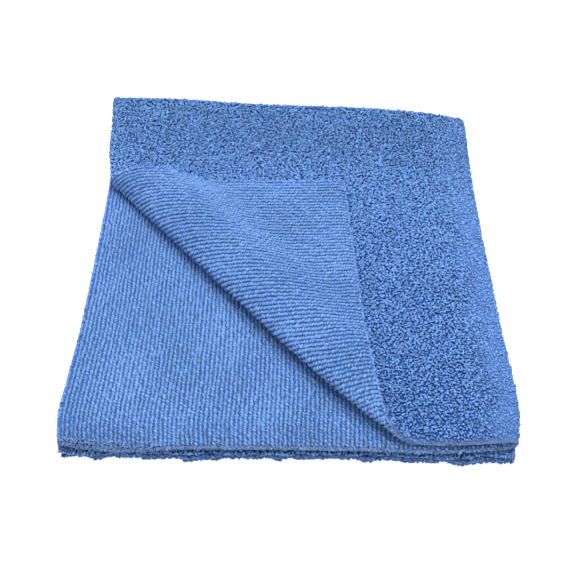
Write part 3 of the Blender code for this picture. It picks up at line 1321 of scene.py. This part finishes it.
@dataclass
class Tufts:
    """Tufts that stand on the flat cloth, each with its own turn, size and tone.

    Attributes:
        cloth: the fold that they follow.
        shapes: the tufts that are repeated.
        u: each root's place across the flat cloth.
        v: its place along the cloth.
        kind: which of the shapes it has.
        yaw: which way it leans, in radians from the u axis.
        size: its size beside its shape's own.
        tone: how much paler or darker than the rest, about -1 to 1.
        root: how far its root lies from the cloth's middle, on the side where it stands.
        overhang: how far past the cut edge it may reach.
        side: 1 where it stands on the pile side, -1 on the ribbed side.
        side_share: the share of the overhang that it may have past a side edge.
        clear: how far above the floor its lowest vertex stays.
    """

    cloth: FoldedCloth
    shapes: list[tuple[Array, list, Array]]
    u: Array
    v: Array
    kind: Array
    yaw: Array
    size: Array
    tone: Array
    root: Array
    overhang: Array
    side: Array
    side_share: float = 0.4
    clear: float = 0.05

    def build(self, name: str, shown: Array, finish: bpy.types.Material) -> bpy.types.Object:
        """Build one piece of some of the tufts.

        Args:
            name: the piece's name.
            shown: which tufts are in it.
            finish: the material that it wears.

        Returns:
            The piece's object.
        """
        gathered = Gathered(name)
        for number, shape in enumerate(self.shapes):
            chosen = np.flatnonzero(shown & (self.kind == number))
            if chosen.size:
                self.add(gathered, chosen, *shape)
        return gathered.make(finish)

    def add(
        self, gathered: Gathered, chosen: Array, points: Array, faces: list, height: Array
    ) -> None:
        """Add every chosen tuft of one shape.

        Args:
            gathered: the piece that they go in.
            chosen: the tufts' numbers.
            points: the shape's vertices.
            faces: the shape's faces.
            height: the shape's heights, from 0 to 1.
        """
        cloth = self.cloth
        u, v, yaw, size, side, overhang = (
            values[chosen][:, None]
            for values in (self.u, self.v, self.yaw, self.size, self.side, self.overhang)
        )
        place, across, along, normal = cloth.frames(u[:, 0], v[:, 0])
        squeeze = cloth.squeeze(u[:, 0], v[:, 0])[:, None]
        x, y = points[:, 0] * size, points[:, 1] * size * side
        past_side = self.side_share * overhang
        aside = u + x * np.cos(yaw) - y * np.sin(yaw)
        aside = np.clip(aside, -past_side, cloth.width + past_side) - u
        ahead = v + x * np.sin(yaw) + y * np.cos(yaw)
        ahead = np.clip(ahead, -overhang, cloth.length + overhang) - v
        upright = (self.root[chosen][:, None] + points[:, 2] * size) * squeeze * side
        spot = (
            place[:, None]
            + across[:, None] * aside[..., None]
            + along[:, None] * ahead[..., None]
            + normal[:, None] * upright[..., None]
        )
        spot[..., 2] = np.maximum(spot[..., 2], cloth.shift[2] + self.clear)
        count, length = len(chosen), len(points)
        starts = np.arange(count)[:, None, None] * length + gathered.count
        for corners in sorted({len(face) for face in faces}):
            these = np.array([face for face in faces if len(face) == corners])
            gathered.faces.extend((these[None] + starts).reshape(-1, corners).tolist())
        gathered.points.append(spot.reshape(-1, 3))
        gathered.heights.append(np.tile(height, count))
        gathered.tones.append(np.repeat(self.tone[chosen], length))
        gathered.flats.append(np.repeat(np.concatenate([u, v], 1), length, axis=0))
        gathered.count += count * length


@dataclass
class PileField:
    """The long pile, scattered over the whole flat cloth.

    Attributes:
        cloth: the fold that it follows.
        spacing: from one tuft to the next.
        size: the tufts' size beside their shapes' own.
        edge: how near a cut edge the pile starts to lean out over it.
        grown: how long the pile stands at the front edge and at the back fold, beside its size.
        first: how far from the cut the first row stands.
        inset: how near the cut a root may be.
        stray: how far roots stray from their rows, as a share of the spacing.
        overhangs: the least and the most that a tuft may reach past the cut.
        seed: which set of differences between tufts is drawn.
        yaw_spread: how far tufts stray from the way that the pile leans, free and held.
        size_spread: how far tufts differ in size, as a share of it.
        size_limits: the least and the most of that.
        tone_spread: how far tufts differ in tone.
        tone_limit: the most of that.
        whorls: how the pile turns where nothing holds it.
        whorl_turn: how far it turns, in radians.
        over_right: where across the cloth the right fold stretches the pile.
        right_lean: how strictly the pile leans to the right and to the back there.
        over_back: where along the cloth the painted light over the back fold lies.
        before_back: where along the cloth the pile lies in its own shade, before that fold.
        worn: how far from the right fold the painted light there sets in, and where it is full.
        matted_front: how far in from the top layer's front edge the cut has matted the pile.
        matted_from: between which places across the cloth that sets in.
        front: how far in from the front edge the painted shade on the top layer reaches.
        contrasts: between which places along the cloth the tufts come to differ more.
        root: how far from the cloth's middle the tufts are rooted.
        matted_deeper: how much deeper they are in matted pile.
        held_paler: how much paler pile is where it is held to one side.
        right_fold_light: how much paler the painted light makes the pile near the right fold.
        back_fold_light: how much paler the painted light makes the pile over the back fold.
        before_back_darker: how much darker before it.
        front_painted_shade: how much darker the painted shade makes the pile at the front edge.
        back_contrast: how much more tufts differ in tone at the back.
        bright_contrast: how much more they do under the painted light near the right fold and over
            the back fold.
        tone_share: how strongly all of this shows beside the tufts' own differences.
    """

    cloth: FoldedCloth
    spacing: float
    size: float
    edge: float = 6.0
    grown: tuple[float, float] = (0.96, 1.12)
    first: float = 0.5
    inset: float = 0.3
    stray: float = 0.4
    overhangs: tuple[float, float] = (0.1, 1.1)
    seed: int = 11
    yaw_spread: tuple[float, float] = (1.6, 0.5)
    size_spread: float = 0.12
    size_limits: tuple[float, float] = (0.7, 1.3)
    tone_spread: float = 0.7
    tone_limit: float = 1.6
    whorls: Ripple = Ripple(size=16, seed=21)
    whorl_turn: float = 1.2 * pi
    over_right: Stretch = (182.0, 196.0, 198.0, 212.0)
    right_lean: tuple[float, float] = (0.6, -0.2)
    over_back: Stretch = (195.0, 203.0, 210.0, 230.0)
    before_back: Stretch = (130.0, 180.0, 196.0, 204.0)
    worn: tuple[float, float] = (30.0, 6.0)
    matted_front: tuple[float, float] = (3.4, 1.2)
    matted_from: tuple[float, float] = (130.0, 150.0)
    front: float = 60.0
    contrasts: tuple[float, float] = (120.0, 190.0)
    root: float = 0.25
    matted_deeper: float = 0.95
    held_paler: float = 0.4
    right_fold_light: float = 0.75
    back_fold_light: float = 1.1
    before_back_darker: float = 1.8
    front_painted_shade: float = 0.9
    back_contrast: float = 0.5
    bright_contrast: float = 0.4
    tone_share: float = 0.8

    def heading(self, u: Array, v: Array) -> tuple[Array, Array]:
        """Work out which way the pile leans.

        Args:
            u: across the flat cloth.
            v: along the flat cloth.

        Returns:
            The direction from the u axis, in radians, and how strictly the pile keeps to it.
        """
        width, length, edge = self.cloth.width, self.cloth.length, self.edge
        free = self.whorl_turn * self.whorls.at(u, v)
        over_fold = between(u, self.over_right)
        to_side = rise(u, width - edge, width) - rise(u, edge, 0) + self.right_lean[0] * over_fold
        to_back = rise(v, length - edge, length) - rise(v, edge, 0) + self.right_lean[1] * over_fold
        hold = np.clip(np.hypot(to_back, to_side), 0, 1)
        x = mix(np.cos(free), to_side, hold)
        y = mix(np.sin(free), to_back, hold)
        return np.arctan2(y, x), hold

    def shading(self, u: Array, v: Array, hold: Array, matted: Array) -> tuple[Array, Array]:
        """Work out the painted light and shade on the pile, as tone that differs from place to
        place.

        Args:
            u: across the flat cloth.
            v: along the flat cloth.
            hold: how strictly the pile keeps to the way that it leans.
            matted: how far the cut has matted it.

        Returns:
            How much paler than the rest each tuft is, and how strongly tufts differ there.
        """
        # Painted light: the pile is paler near the right fold and over the back fold.
        worn = self.right_fold_light * rise(self.cloth.from_right_fold(u, v), *self.worn)
        bright = np.maximum(worn, self.back_fold_light * between(v, self.over_back))
        paler = np.maximum(self.held_paler * hold, bright) * (1 - matted)
        # Painted shade: the pile darkens towards the top layer's front edge, and before the back
        # fold.
        darker = self.front_painted_shade * rise(v, self.front, 0)
        darker = darker + self.before_back_darker * between(v, self.before_back)
        contrast = 1 + self.back_contrast * rise(v, *self.contrasts) + self.bright_contrast * bright
        return paler - darker, contrast

    def scatter(self, shapes: list[tuple[Array, list, Array]]) -> Tufts:
        """Scatter tufts of the given shapes over the whole cloth.

        Args:
            shapes: the tufts that are repeated.

        Returns:
            The tufts.
        """
        cloth = self.cloth
        random = np.random.default_rng(self.seed)
        across = np.arange(self.first, cloth.width, self.spacing)
        along = np.arange(self.first, cloth.length, self.spacing * sqrt(3) / 2)
        u, v = np.meshgrid(across, along, indexing="ij")
        u = u + self.spacing / 2 * (np.arange(len(along)) % 2)
        aside, ahead = random.uniform(-self.stray, self.stray, (2, *u.shape)) * self.spacing
        u = np.clip(u + aside, self.inset, cloth.width - self.inset).ravel()
        v = np.clip(v + ahead, self.inset, cloth.length - self.inset).ravel()
        direction, hold = self.heading(u, v)
        matted = rise(v, *self.matted_front) * rise(u, *self.matted_from) * (u < cloth.width / 2)
        shade, contrast = self.shading(u, v, hold, matted)
        grown = mix(*self.grown, rise(v, 0, cloth.length / 2))
        kind = random.integers(0, len(shapes), u.size)
        yaw = direction + random.normal(0, 1, u.size) * mix(*self.yaw_spread, hold)
        varied = random.normal(1.0, self.size_spread, u.size).clip(*self.size_limits)
        tone = random.normal(0, self.tone_spread, u.size).clip(-self.tone_limit, self.tone_limit)
        return Tufts(
            cloth=cloth,
            shapes=shapes,
            u=u,
            v=v,
            kind=kind,
            yaw=yaw,
            size=self.size * grown * varied,
            tone=tone * contrast + self.tone_share * shade,
            root=self.root - self.matted_deeper * matted,
            overhang=random.uniform(*self.overhangs, u.size),
            side=np.ones(u.size),
        )


@dataclass
class EdgeFringe:
    """Short stiff fibres that the hot cut leaves along the edge, and a few that hang loose.

    Attributes:
        cloth: the fold that they follow.
        loose: where a longer fibre hangs over the front edge, by its place across the cloth.
        teeth: between which places across the cloth the cut ribs hang over the front edge.
        hanging_sizes: the size of such a longer fibre and of such a rib, beside their shapes'.
        hanging_inset: how far inside the cut such fibres and ribs are rooted.
        worn: how far in from the second layer's front left corner its loops are worn.
        worn_count: how many fibres stand up there.
        worn_inset: how near the cut they may be.
        crowding: the powers that thin them out at the corner and crowd them at the edge.
        worn_roots: the least and the most that they are rooted from the cloth's middle.
        front: how far from the front edge every fibre stands, and not just every other one.
        insets: the least and the most that a fibre stands inside the edge's middle line.
        sizes: the least and the most of its size, beside its shape's own.
        roots: the least and the most that it is rooted from the cloth's middle.
        overhangs: the least and the most that it may reach past the cut.
        yaw_spread: how far fibres stray from straight out, in radians.
        seed: which set of differences between fibres is drawn.
    """

    cloth: FoldedCloth
    loose: tuple[float, ...] = (226.0, 243.5, 244.4, 262.0, 310.0, 352.0)
    teeth: tuple[float, float] = (359.0, 381.0)
    hanging_sizes: tuple[float, float] = (2.0, 1.4)
    hanging_inset: float = 0.5
    worn: tuple[float, float] = (44.0, 3.4)
    worn_count: int = 150
    worn_inset: float = 0.3
    crowding: tuple[float, float] = (0.8, 1.3)
    worn_roots: tuple[float, float] = (0.7, 1.1)
    front: float = 3.0
    insets: tuple[float, float] = (-0.3, 0.7)
    sizes: tuple[float, float] = (0.75, 1.2)
    roots: tuple[float, float] = (-0.2, 0.8)
    overhangs: tuple[float, float] = (0.0, 0.8)
    yaw_spread: float = 1.2
    seed: int = 41

    def scatter(self, edge: "FusedEdge", shapes: list[tuple[Array, list, Array]]) -> Tufts:
        """Stand the fibres along the cut edge.

        Args:
            edge: the fused edge that they grow from.
            shapes: the fibres that are repeated.

        Returns:
            The fibres.
        """
        random = np.random.default_rng(self.seed)
        u, v, out = edge.path()
        kept = (v < self.front) | (np.arange(u.size) % 2 == 0)
        u, v, out = u[kept], v[kept], out[kept]
        inset = random.uniform(*self.insets, u.size)
        cut_ribs = np.arange(*self.teeth, self.cloth.width / RibPanel.count)
        hanging = np.concatenate([self.loose, cut_ribs])
        worn_in = self.worn[0] * random.random(self.worn_count) ** self.crowding[0]
        worn_back = self.worn[1] * random.random(self.worn_count) ** self.crowding[1]
        worn_out = random.uniform(-pi, pi, self.worn_count)
        hanging_v = np.full(len(hanging), self.hanging_inset)
        u = np.concatenate([self.cloth.width - worn_in, u - np.cos(out) * inset, hanging])
        v = np.concatenate([self.worn_inset + worn_back, v - np.sin(out) * inset, hanging_v])
        out = np.concatenate([worn_out, out, np.full(len(hanging), -pi / 2)])
        count = u.size
        size = random.uniform(*self.sizes, count)
        size[-len(hanging) :] = np.repeat(self.hanging_sizes, (len(self.loose), len(cut_ribs)))
        root = random.uniform(*self.roots, count)
        root[: self.worn_count] = random.uniform(*self.worn_roots, self.worn_count)
        return Tufts(
            cloth=self.cloth,
            shapes=shapes,
            u=u,
            v=v,
            kind=random.integers(0, len(shapes), count),
            yaw=out + random.normal(0, self.yaw_spread, count),
            size=size,
            tone=random.normal(0, 1, count),
            root=root,
            overhang=random.uniform(*self.overhangs, count),
            side=-np.ones(count),
        )


@dataclass
class FusedEdge:
    """The hot-cut edge: an uneven band of fused and flattened loops all round the cloth.

    Attributes:
        cloth: the fold that it follows.
        inset: how far its middle lies inside the cut.
        half_width: half its size in the cloth's plane.
        half_depth: half its size through the cloth.
        middle: how far it lies from the cloth's middle, towards the ribs.
        spacing: from one ring of vertices to the next.
        corner: the radius that the cut corners are worn to.
        corner_points: how many points give the curve round a corner.
        sides: how many sides a ring has.
        spread: how far rings differ.
        most: the most that they do.
        lumps: how thicker and thinner stretches follow each other.
        lumps_by: how much these add to the rings' own differences.
        wider: how much wider a lump is.
        thinner: how much thinner it is.
        stray: how far a ring strays in the cloth's plane.
        sag: how far it strays through the cloth.
        colour: how far up its colours the band is.
        paler: how much further up a lump is.
        seed: which set of differences between rings is drawn.
    """

    cloth: FoldedCloth
    inset: float = 0.65
    half_width: float = 0.6
    half_depth: float = 0.45
    middle: float = 0.8
    spacing: float = 0.55
    corner: float = 2.5
    corner_points: int = 5
    sides: int = 6
    spread: float = 0.5
    most: float = 1.2
    lumps: Ripple = Ripple(size=16, seed=13)
    lumps_by: float = 0.5
    wider: float = 0.4
    thinner: float = 0.3
    stray: float = 0.45
    sag: float = 0.5
    colour: float = 0.5
    paler: float = 0.3
    seed: int = 31

    def path(self) -> tuple[Array, Array, Array]:
        """Lay the band's middle line round the cut, anticlockwise from the right front corner.

        Returns:
            Its u, its v and the heading that points away from the cloth, in radians.
        """
        low, wide, long = self.inset, self.cloth.width - self.inset, self.cloth.length - self.inset
        corners = (
            (wide - self.corner, low + self.corner, -pi / 2),
            (wide - self.corner, long - self.corner, 0.0),
            (low + self.corner, long - self.corner, pi / 2),
            (low + self.corner, low + self.corner, pi),
        )
        u, v, out = [], [], []
        for u_middle, v_middle, start in corners:
            for angle in np.linspace(start, start + pi / 2, self.corner_points):
                u.append(u_middle + self.corner * cos(angle))
                v.append(v_middle + self.corner * sin(angle))
                out.append(angle)
        u, v, out = np.array(u + u[:1]), np.array(v + v[:1]), np.array(out + [out[0] + 2 * pi])
        along = np.concatenate([[0], np.cumsum(np.hypot(np.diff(u), np.diff(v)))])
        even = np.linspace(0, along[-1], int(along[-1] / self.spacing), endpoint=False)
        return np.interp(even, along, u), np.interp(even, along, v), np.interp(even, along, out)

    def build(self, finish: bpy.types.Material) -> bpy.types.Object:
        """Build the band as one closed loop.

        Args:
            finish: the material that it wears.

        Returns:
            The piece's object.
        """
        u, v, out = self.path()
        place, across, along, normal = self.cloth.frames(u, v)
        outward = np.cos(out)[:, None] * across + np.sin(out)[:, None] * along
        random = np.random.default_rng(self.seed)
        lumps, stray, sag = random.normal(0, self.spread, (3, len(u))).clip(-self.most, self.most)
        lumps = lumps + self.lumps_by * self.lumps.at(u, v)
        angle = 2 * pi * np.arange(self.sides) / self.sides
        half_width = self.half_width * (1 + self.wider * lumps)
        half_depth = self.half_depth * (1 - self.thinner * lumps)
        wide = half_width[:, None] * np.cos(angle) + self.stray * stray[:, None]
        deep = half_depth[:, None] * np.sin(angle) - self.middle + self.sag * sag[:, None]
        points = (
            place[:, None] + outward[:, None] * wide[..., None] + normal[:, None] * deep[..., None]
        )
        index = np.arange(len(u) * self.sides).reshape(len(u), self.sides)
        faces = strand_faces(index, np.roll(index, -1, axis=0))
        height = np.repeat(self.colour + self.paler * lumps, self.sides)
        flat = np.repeat(np.stack([u, v], -1), self.sides, axis=0)
        gathered = Gathered("fused_edge")
        gathered.add(points.reshape(-1, 3), faces, height, np.repeat(stray, self.sides), flat)
        return gathered.make(finish)


# ---------------------------------------------------------------------------------------------
# Where each piece shows
# ---------------------------------------------------------------------------------------------


@dataclass
class Zones:
    """Which parts of the flat cloth show, and so which of them carry ribs or tufts.

    Attributes:
        cloth: the fold.
        slit: how deep the eye reaches between two layers at a cut edge.
        under_roll: how far behind the turned corner's line the layer below still has ribs.
        front_ribs: how far in from its front edge the second layer has ribs all the way across.
        before_bend: how far before the bend the turned corner's ribs begin.
        taken_up: how much cloth the bend takes up where it is at its full size.
        corner_edges: the x and y of the unturned corner's cut edges.
        margin: how far inside the turned corner's edges the pile below is left out.
        deepest: how far behind the line the turned corner may reach.
        short: how far short of the folds the top layer's own pile stops.
        rim: how far in from its cut edges the turned corner has pile.
        roll_rim: the same on the roll, where the eye reaches further in.
        roll: how far past the line the roll goes.
        split: the u and v where the top layer's pile is split, so that no piece is too large.
    """

    cloth: FoldedCloth
    slit: float = 4.0
    under_roll: float = 11.0
    front_ribs: float = 8.0
    before_bend: float = 9.0
    taken_up: float = 18.5
    corner_edges: tuple[float, float] = (-99.0, 12.0)
    margin: float = 6.0
    deepest: float = 100.0
    short: float = 2.0
    rim: float = 4.0
    roll_rim: float = 12.0
    roll: float = 30.0
    split: tuple[float, float] = (137.0, 150.0)

    def lower_ribs(self, u: Array, v: Array) -> Array:
        """Return where the second layer's ribs are bared or near its front edge."""
        shown = (self.cloth.past_line(u, v) > -self.under_roll) | (v < self.front_ribs)
        return self.cloth.is_layer(Layer.SECOND, u, v) & shown

    def turned_ribs(self, u: Array, v: Array) -> Array:
        """Return where the turned corner's ribs are, from just before the bend."""
        past = self.cloth.past_line(u, v)
        return self.cloth.is_layer(Layer.TOP, u, v) & (past > -self.before_bend)

    def edge_ribs(self, u: Array, v: Array) -> Array:
        """Return where ribs show only as ends or sides in the slits between layers."""
        near = self.cloth.border(u, v) < self.slit
        return near & ~self.lower_ribs(u, v) & ~self.turned_ribs(u, v)

    def covered(self, u: Array, v: Array) -> Array:
        """Work out where the turned corner lies on the top layer and hides its pile.

        Args:
            u: across the flat cloth.
            v: along the flat cloth.

        Returns:
            Whether each point is covered.
        """
        x, y, _ = self.cloth.quarters(u, v)
        past = self.cloth.roll.past(x, y)
        step = (self.taken_up * self.cloth.roll.size_at(x, y) - 2 * past) / sqrt(2)
        left, front = self.corner_edges
        inside = (x - step > left + self.margin) & (y - step > front + self.margin)
        return inside & (past > -self.deepest)

    def top_pile(self, u: Array, v: Array) -> Array:
        """Work out where the top layer's pile shows: clear of the turned corner, and at its rim.

        Args:
            u: across the flat cloth.
            v: along the flat cloth.

        Returns:
            Whether each point has pile that shows.
        """
        cloth = self.cloth
        flat = (u < cloth.flat_across - self.short) & (v < cloth.flat_along - self.short)
        past, border = cloth.past_line(u, v), cloth.border(u, v)
        rim = (border < self.rim) | ((border < self.roll_rim) & (past < self.roll))
        shown = ((past <= 0) & ~self.covered(u, v)) | ((past > 0) & rim)
        return cloth.is_layer(Layer.TOP, u, v) & flat & shown

    def right_fold_pile(self, u: Array, v: Array) -> Array:
        """Return where pile goes round the right fold and a little way into the slits beside it."""
        right = np.abs(u - self.cloth.width / 2) < self.cloth.hairpin_length / 2 + self.slit
        return right & ~self.top_pile(u, v)

    def back_fold_pile(self, u: Array, v: Array) -> Array:
        """Work out where the rest of the pile goes round the back fold.

        Args:
            u: across the flat cloth.
            v: along the flat cloth.

        Returns:
            Whether each point has such pile.
        """
        back = np.abs(v - self.cloth.length / 2) < self.cloth.pair_length / 2 + self.slit
        other = self.right_fold_pile(u, v) | self.top_pile(u, v)
        return back & (u < self.cloth.width / 2) & ~other

    def edge_pile(self, u: Array, v: Array) -> Array:
        """Return where pile lies in the slits at the cut edges, and round the underside's rim."""
        other = self.top_pile(u, v) | self.right_fold_pile(u, v) | self.back_fold_pile(u, v)
        return (self.cloth.border(u, v) < self.slit) & ~other

    def at_front(self, u: Array, v: Array) -> Array:
        """Return which points are near the stack's front cut edges, which the eye is close to."""
        return (v < self.slit) | (v > self.cloth.length - self.slit)


# ---------------------------------------------------------------------------------------------
# The studio
# ---------------------------------------------------------------------------------------------


@dataclass(frozen=True)
class SoftLight:
    """A soft square light that points at the cloth.

    Attributes:
        name: what it does.
        spot: where it hangs, in metres.
        size: its side, in metres.
        power: its power in watts.
    """

    name: str
    spot: tuple[float, float, float]
    size: float
    power: float

    def hang(self) -> None:
        """Hang the light in its place."""
        data = bpy.data.lights.new(self.name, "AREA")
        data.size = self.size
        data.energy = self.power
        light = bpy.data.objects.new(self.name, data)
        light.location = self.spot
        light.rotation_euler = light.location.to_track_quat("Z", "Y").to_euler()
        bpy.context.scene.collection.objects.link(light)


@dataclass(frozen=True)
class StudioPaper:
    """White background paper, lit so brightly that the eye sees no grain in it.

    Attributes:
        colour: its own colour, which sets how strongly shadows show on it.
        glow: the light that it gives back on top of what the lights put there.
        roughness: how matt it is.
    """

    colour: str = "c8c8c8"
    glow: float = 0.72
    roughness: float = 0.8

    def build(self) -> bpy.types.Material:
        """Build the material.

        Returns:
            The material.
        """
        paper = bpy.data.materials.new("white_paper")
        paper.use_nodes = True
        shader = paper.node_tree.nodes["Principled BSDF"]
        shader.inputs["Base Color"].default_value = linear(self.colour)
        shader.inputs["Roughness"].default_value = self.roughness
        shader.inputs["Emission Color"].default_value = linear("ffffff")
        shader.inputs["Emission Strength"].default_value = self.glow
        return paper


@dataclass
class Studio:
    """A pale floor, soft light from above and the camera of the photograph.

    Attributes:
        cloth: what is in the picture.
        lens: the camera's focal length.
        sensor: the width of its sensor.
        pitch_down: how far it looks down, in degrees.
        back_from_front_edge: how far in front of the cloth's front edge it stands.
        height: how high above the cloth's underside it stands.
        key: the main light.
        fill: the light that softens its shadows.
        sky: the colour of the light from all round.
        sky_strength: how strong that light is.
        floor_size: the side of the floor, in metres.
        paper: what the floor is covered with.
    """

    cloth: FoldedCloth
    lens: float = 44.69
    sensor: float = 36.0
    pitch_down: float = 56.0
    back_from_front_edge: float = 116.0
    height: float = 306.0
    key: SoftLight = SoftLight("key", (0.08, 0.16, 1.2), size=0.8, power=20.2)
    fill: SoftLight = SoftLight("fill", (-0.6, -0.5, 1.2), size=0.9, power=3)
    sky: str = "eef2f8"
    sky_strength: float = 0.55
    floor_size: float = 6.0
    paper: StudioPaper = StudioPaper()

    def add_camera(self) -> None:
        """Put the camera in front of the cloth, looking down on it."""
        data = bpy.data.cameras.new("camera")
        data.lens = self.lens
        data.sensor_width = self.sensor
        camera = bpy.data.objects.new("camera", data)
        spot = self.cloth.shift + np.array([0, -self.back_from_front_edge, self.height])
        camera.location = (spot * MM).tolist()
        camera.rotation_euler = (radians(90 - self.pitch_down), 0, 0)
        bpy.context.scene.collection.objects.link(camera)
        bpy.context.scene.camera = camera

    def add_sky(self) -> None:
        """Add the even light from all round."""
        world = bpy.data.worlds.new("studio")
        world.use_nodes = True
        background = world.node_tree.nodes["Background"]
        background.inputs["Color"].default_value = linear(self.sky)
        background.inputs["Strength"].default_value = self.sky_strength
        bpy.context.scene.world = world
        bpy.context.scene.view_settings.view_transform = "Standard"

    def add_floor(self) -> None:
        """Add the floor that the cloth lies on."""
        bpy.ops.object.select_all(action="DESELECT")
        bpy.ops.mesh.primitive_plane_add(size=self.floor_size, location=(0, 0, cad_low.z))
        floor = bpy.context.object
        floor.name = "floor"
        floor.data.materials.append(self.paper.build())

    def build(self) -> None:
        """Build the camera, the lights and the floor."""
        self.add_camera()
        self.key.hang()
        self.fill.hang()
        self.add_sky()
        self.add_floor()


def main() -> None:
    """Build the cloth piece by piece, dress it, attach each piece to its body and hide the CAD
    part.
    """
    cloth = FoldedCloth()
    Studio(cloth).build()
    zones = Zones(cloth)
    pile_finish = LONG_PILE.build()
    rib_finish = RIBBED_LOOPS.build()
    sheet = GroundSheet(cloth).build(KNITTED_GROUND.build())
    edge_finish = FUSED_EDGE.build()
    ribs = RibPanel(cloth)
    shapes = draw_shapes(seed=11, count=14, low=(2.0, 0.74, 2.0, -1.6), high=(2.6, 0.92, 2.7, 1.6))
    # Where only its tips show between the layers, the pile is sparser and longer.
    pile = PileField(cloth, spacing=1.26, size=0.96).scatter(shapes)
    hidden_pile = PileField(cloth, spacing=1.7, size=1.25).scatter(shapes)
    fibres = draw_shapes(seed=12, count=8, low=(1.6, 0.5, 1.6, -1.2), high=(2.4, 0.7, 2.4, 1.2))
    edge = FusedEdge(cloth)
    fringe = EdgeFringe(cloth).scatter(edge, fibres)
    top = zones.top_pile(pile.u, pile.v)
    beside, far = pile.u > zones.split[0], pile.v > zones.split[1]
    front = zones.edge_pile(pile.u, pile.v) & zones.at_front(pile.u, pile.v)
    right_fold = zones.right_fold_pile(pile.u, pile.v)
    back_fold = zones.back_fold_pile(pile.u, pile.v)
    hidden_edges = zones.edge_pile(hidden_pile.u, hidden_pile.v)
    hidden_edges &= ~zones.at_front(hidden_pile.u, hidden_pile.v)
    parts = [
        edge.build(edge_finish),
        fringe.build("edge_fibres", np.full(fringe.u.size, True), edge_finish),
        ribs.build("ribs_lower_layer", zones.lower_ribs, rib_finish),
        ribs.build("ribs_turned_corner", zones.turned_ribs, rib_finish),
        ribs.build("ribs_at_edges", zones.edge_ribs, rib_finish),
        pile.build("pile_behind_corner", top & far, pile_finish),
        pile.build("pile_beside_corner", top & ~far & beside, pile_finish),
        pile.build("pile_under_corner", top & ~far & ~beside, pile_finish),
        pile.build("pile_round_right_fold", right_fold, pile_finish),
        pile.build("pile_round_back_fold", back_fold, pile_finish),
        pile.build("pile_at_front_edges", front, pile_finish),
        hidden_pile.build("pile_at_side_edges", hidden_edges, pile_finish),
    ]
    for piece in (sheet, *parts):
        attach(piece, BODY)
        triangles = sum(len(face.vertices) - 2 for face in piece.data.polygons)
        log.info("%s: %d triangles", piece.name, triangles)
    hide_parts(NODE)


if __name__ == "__main__":
    logging.basicConfig(level=logging.INFO, format="%(name)s %(message)s")
    main()
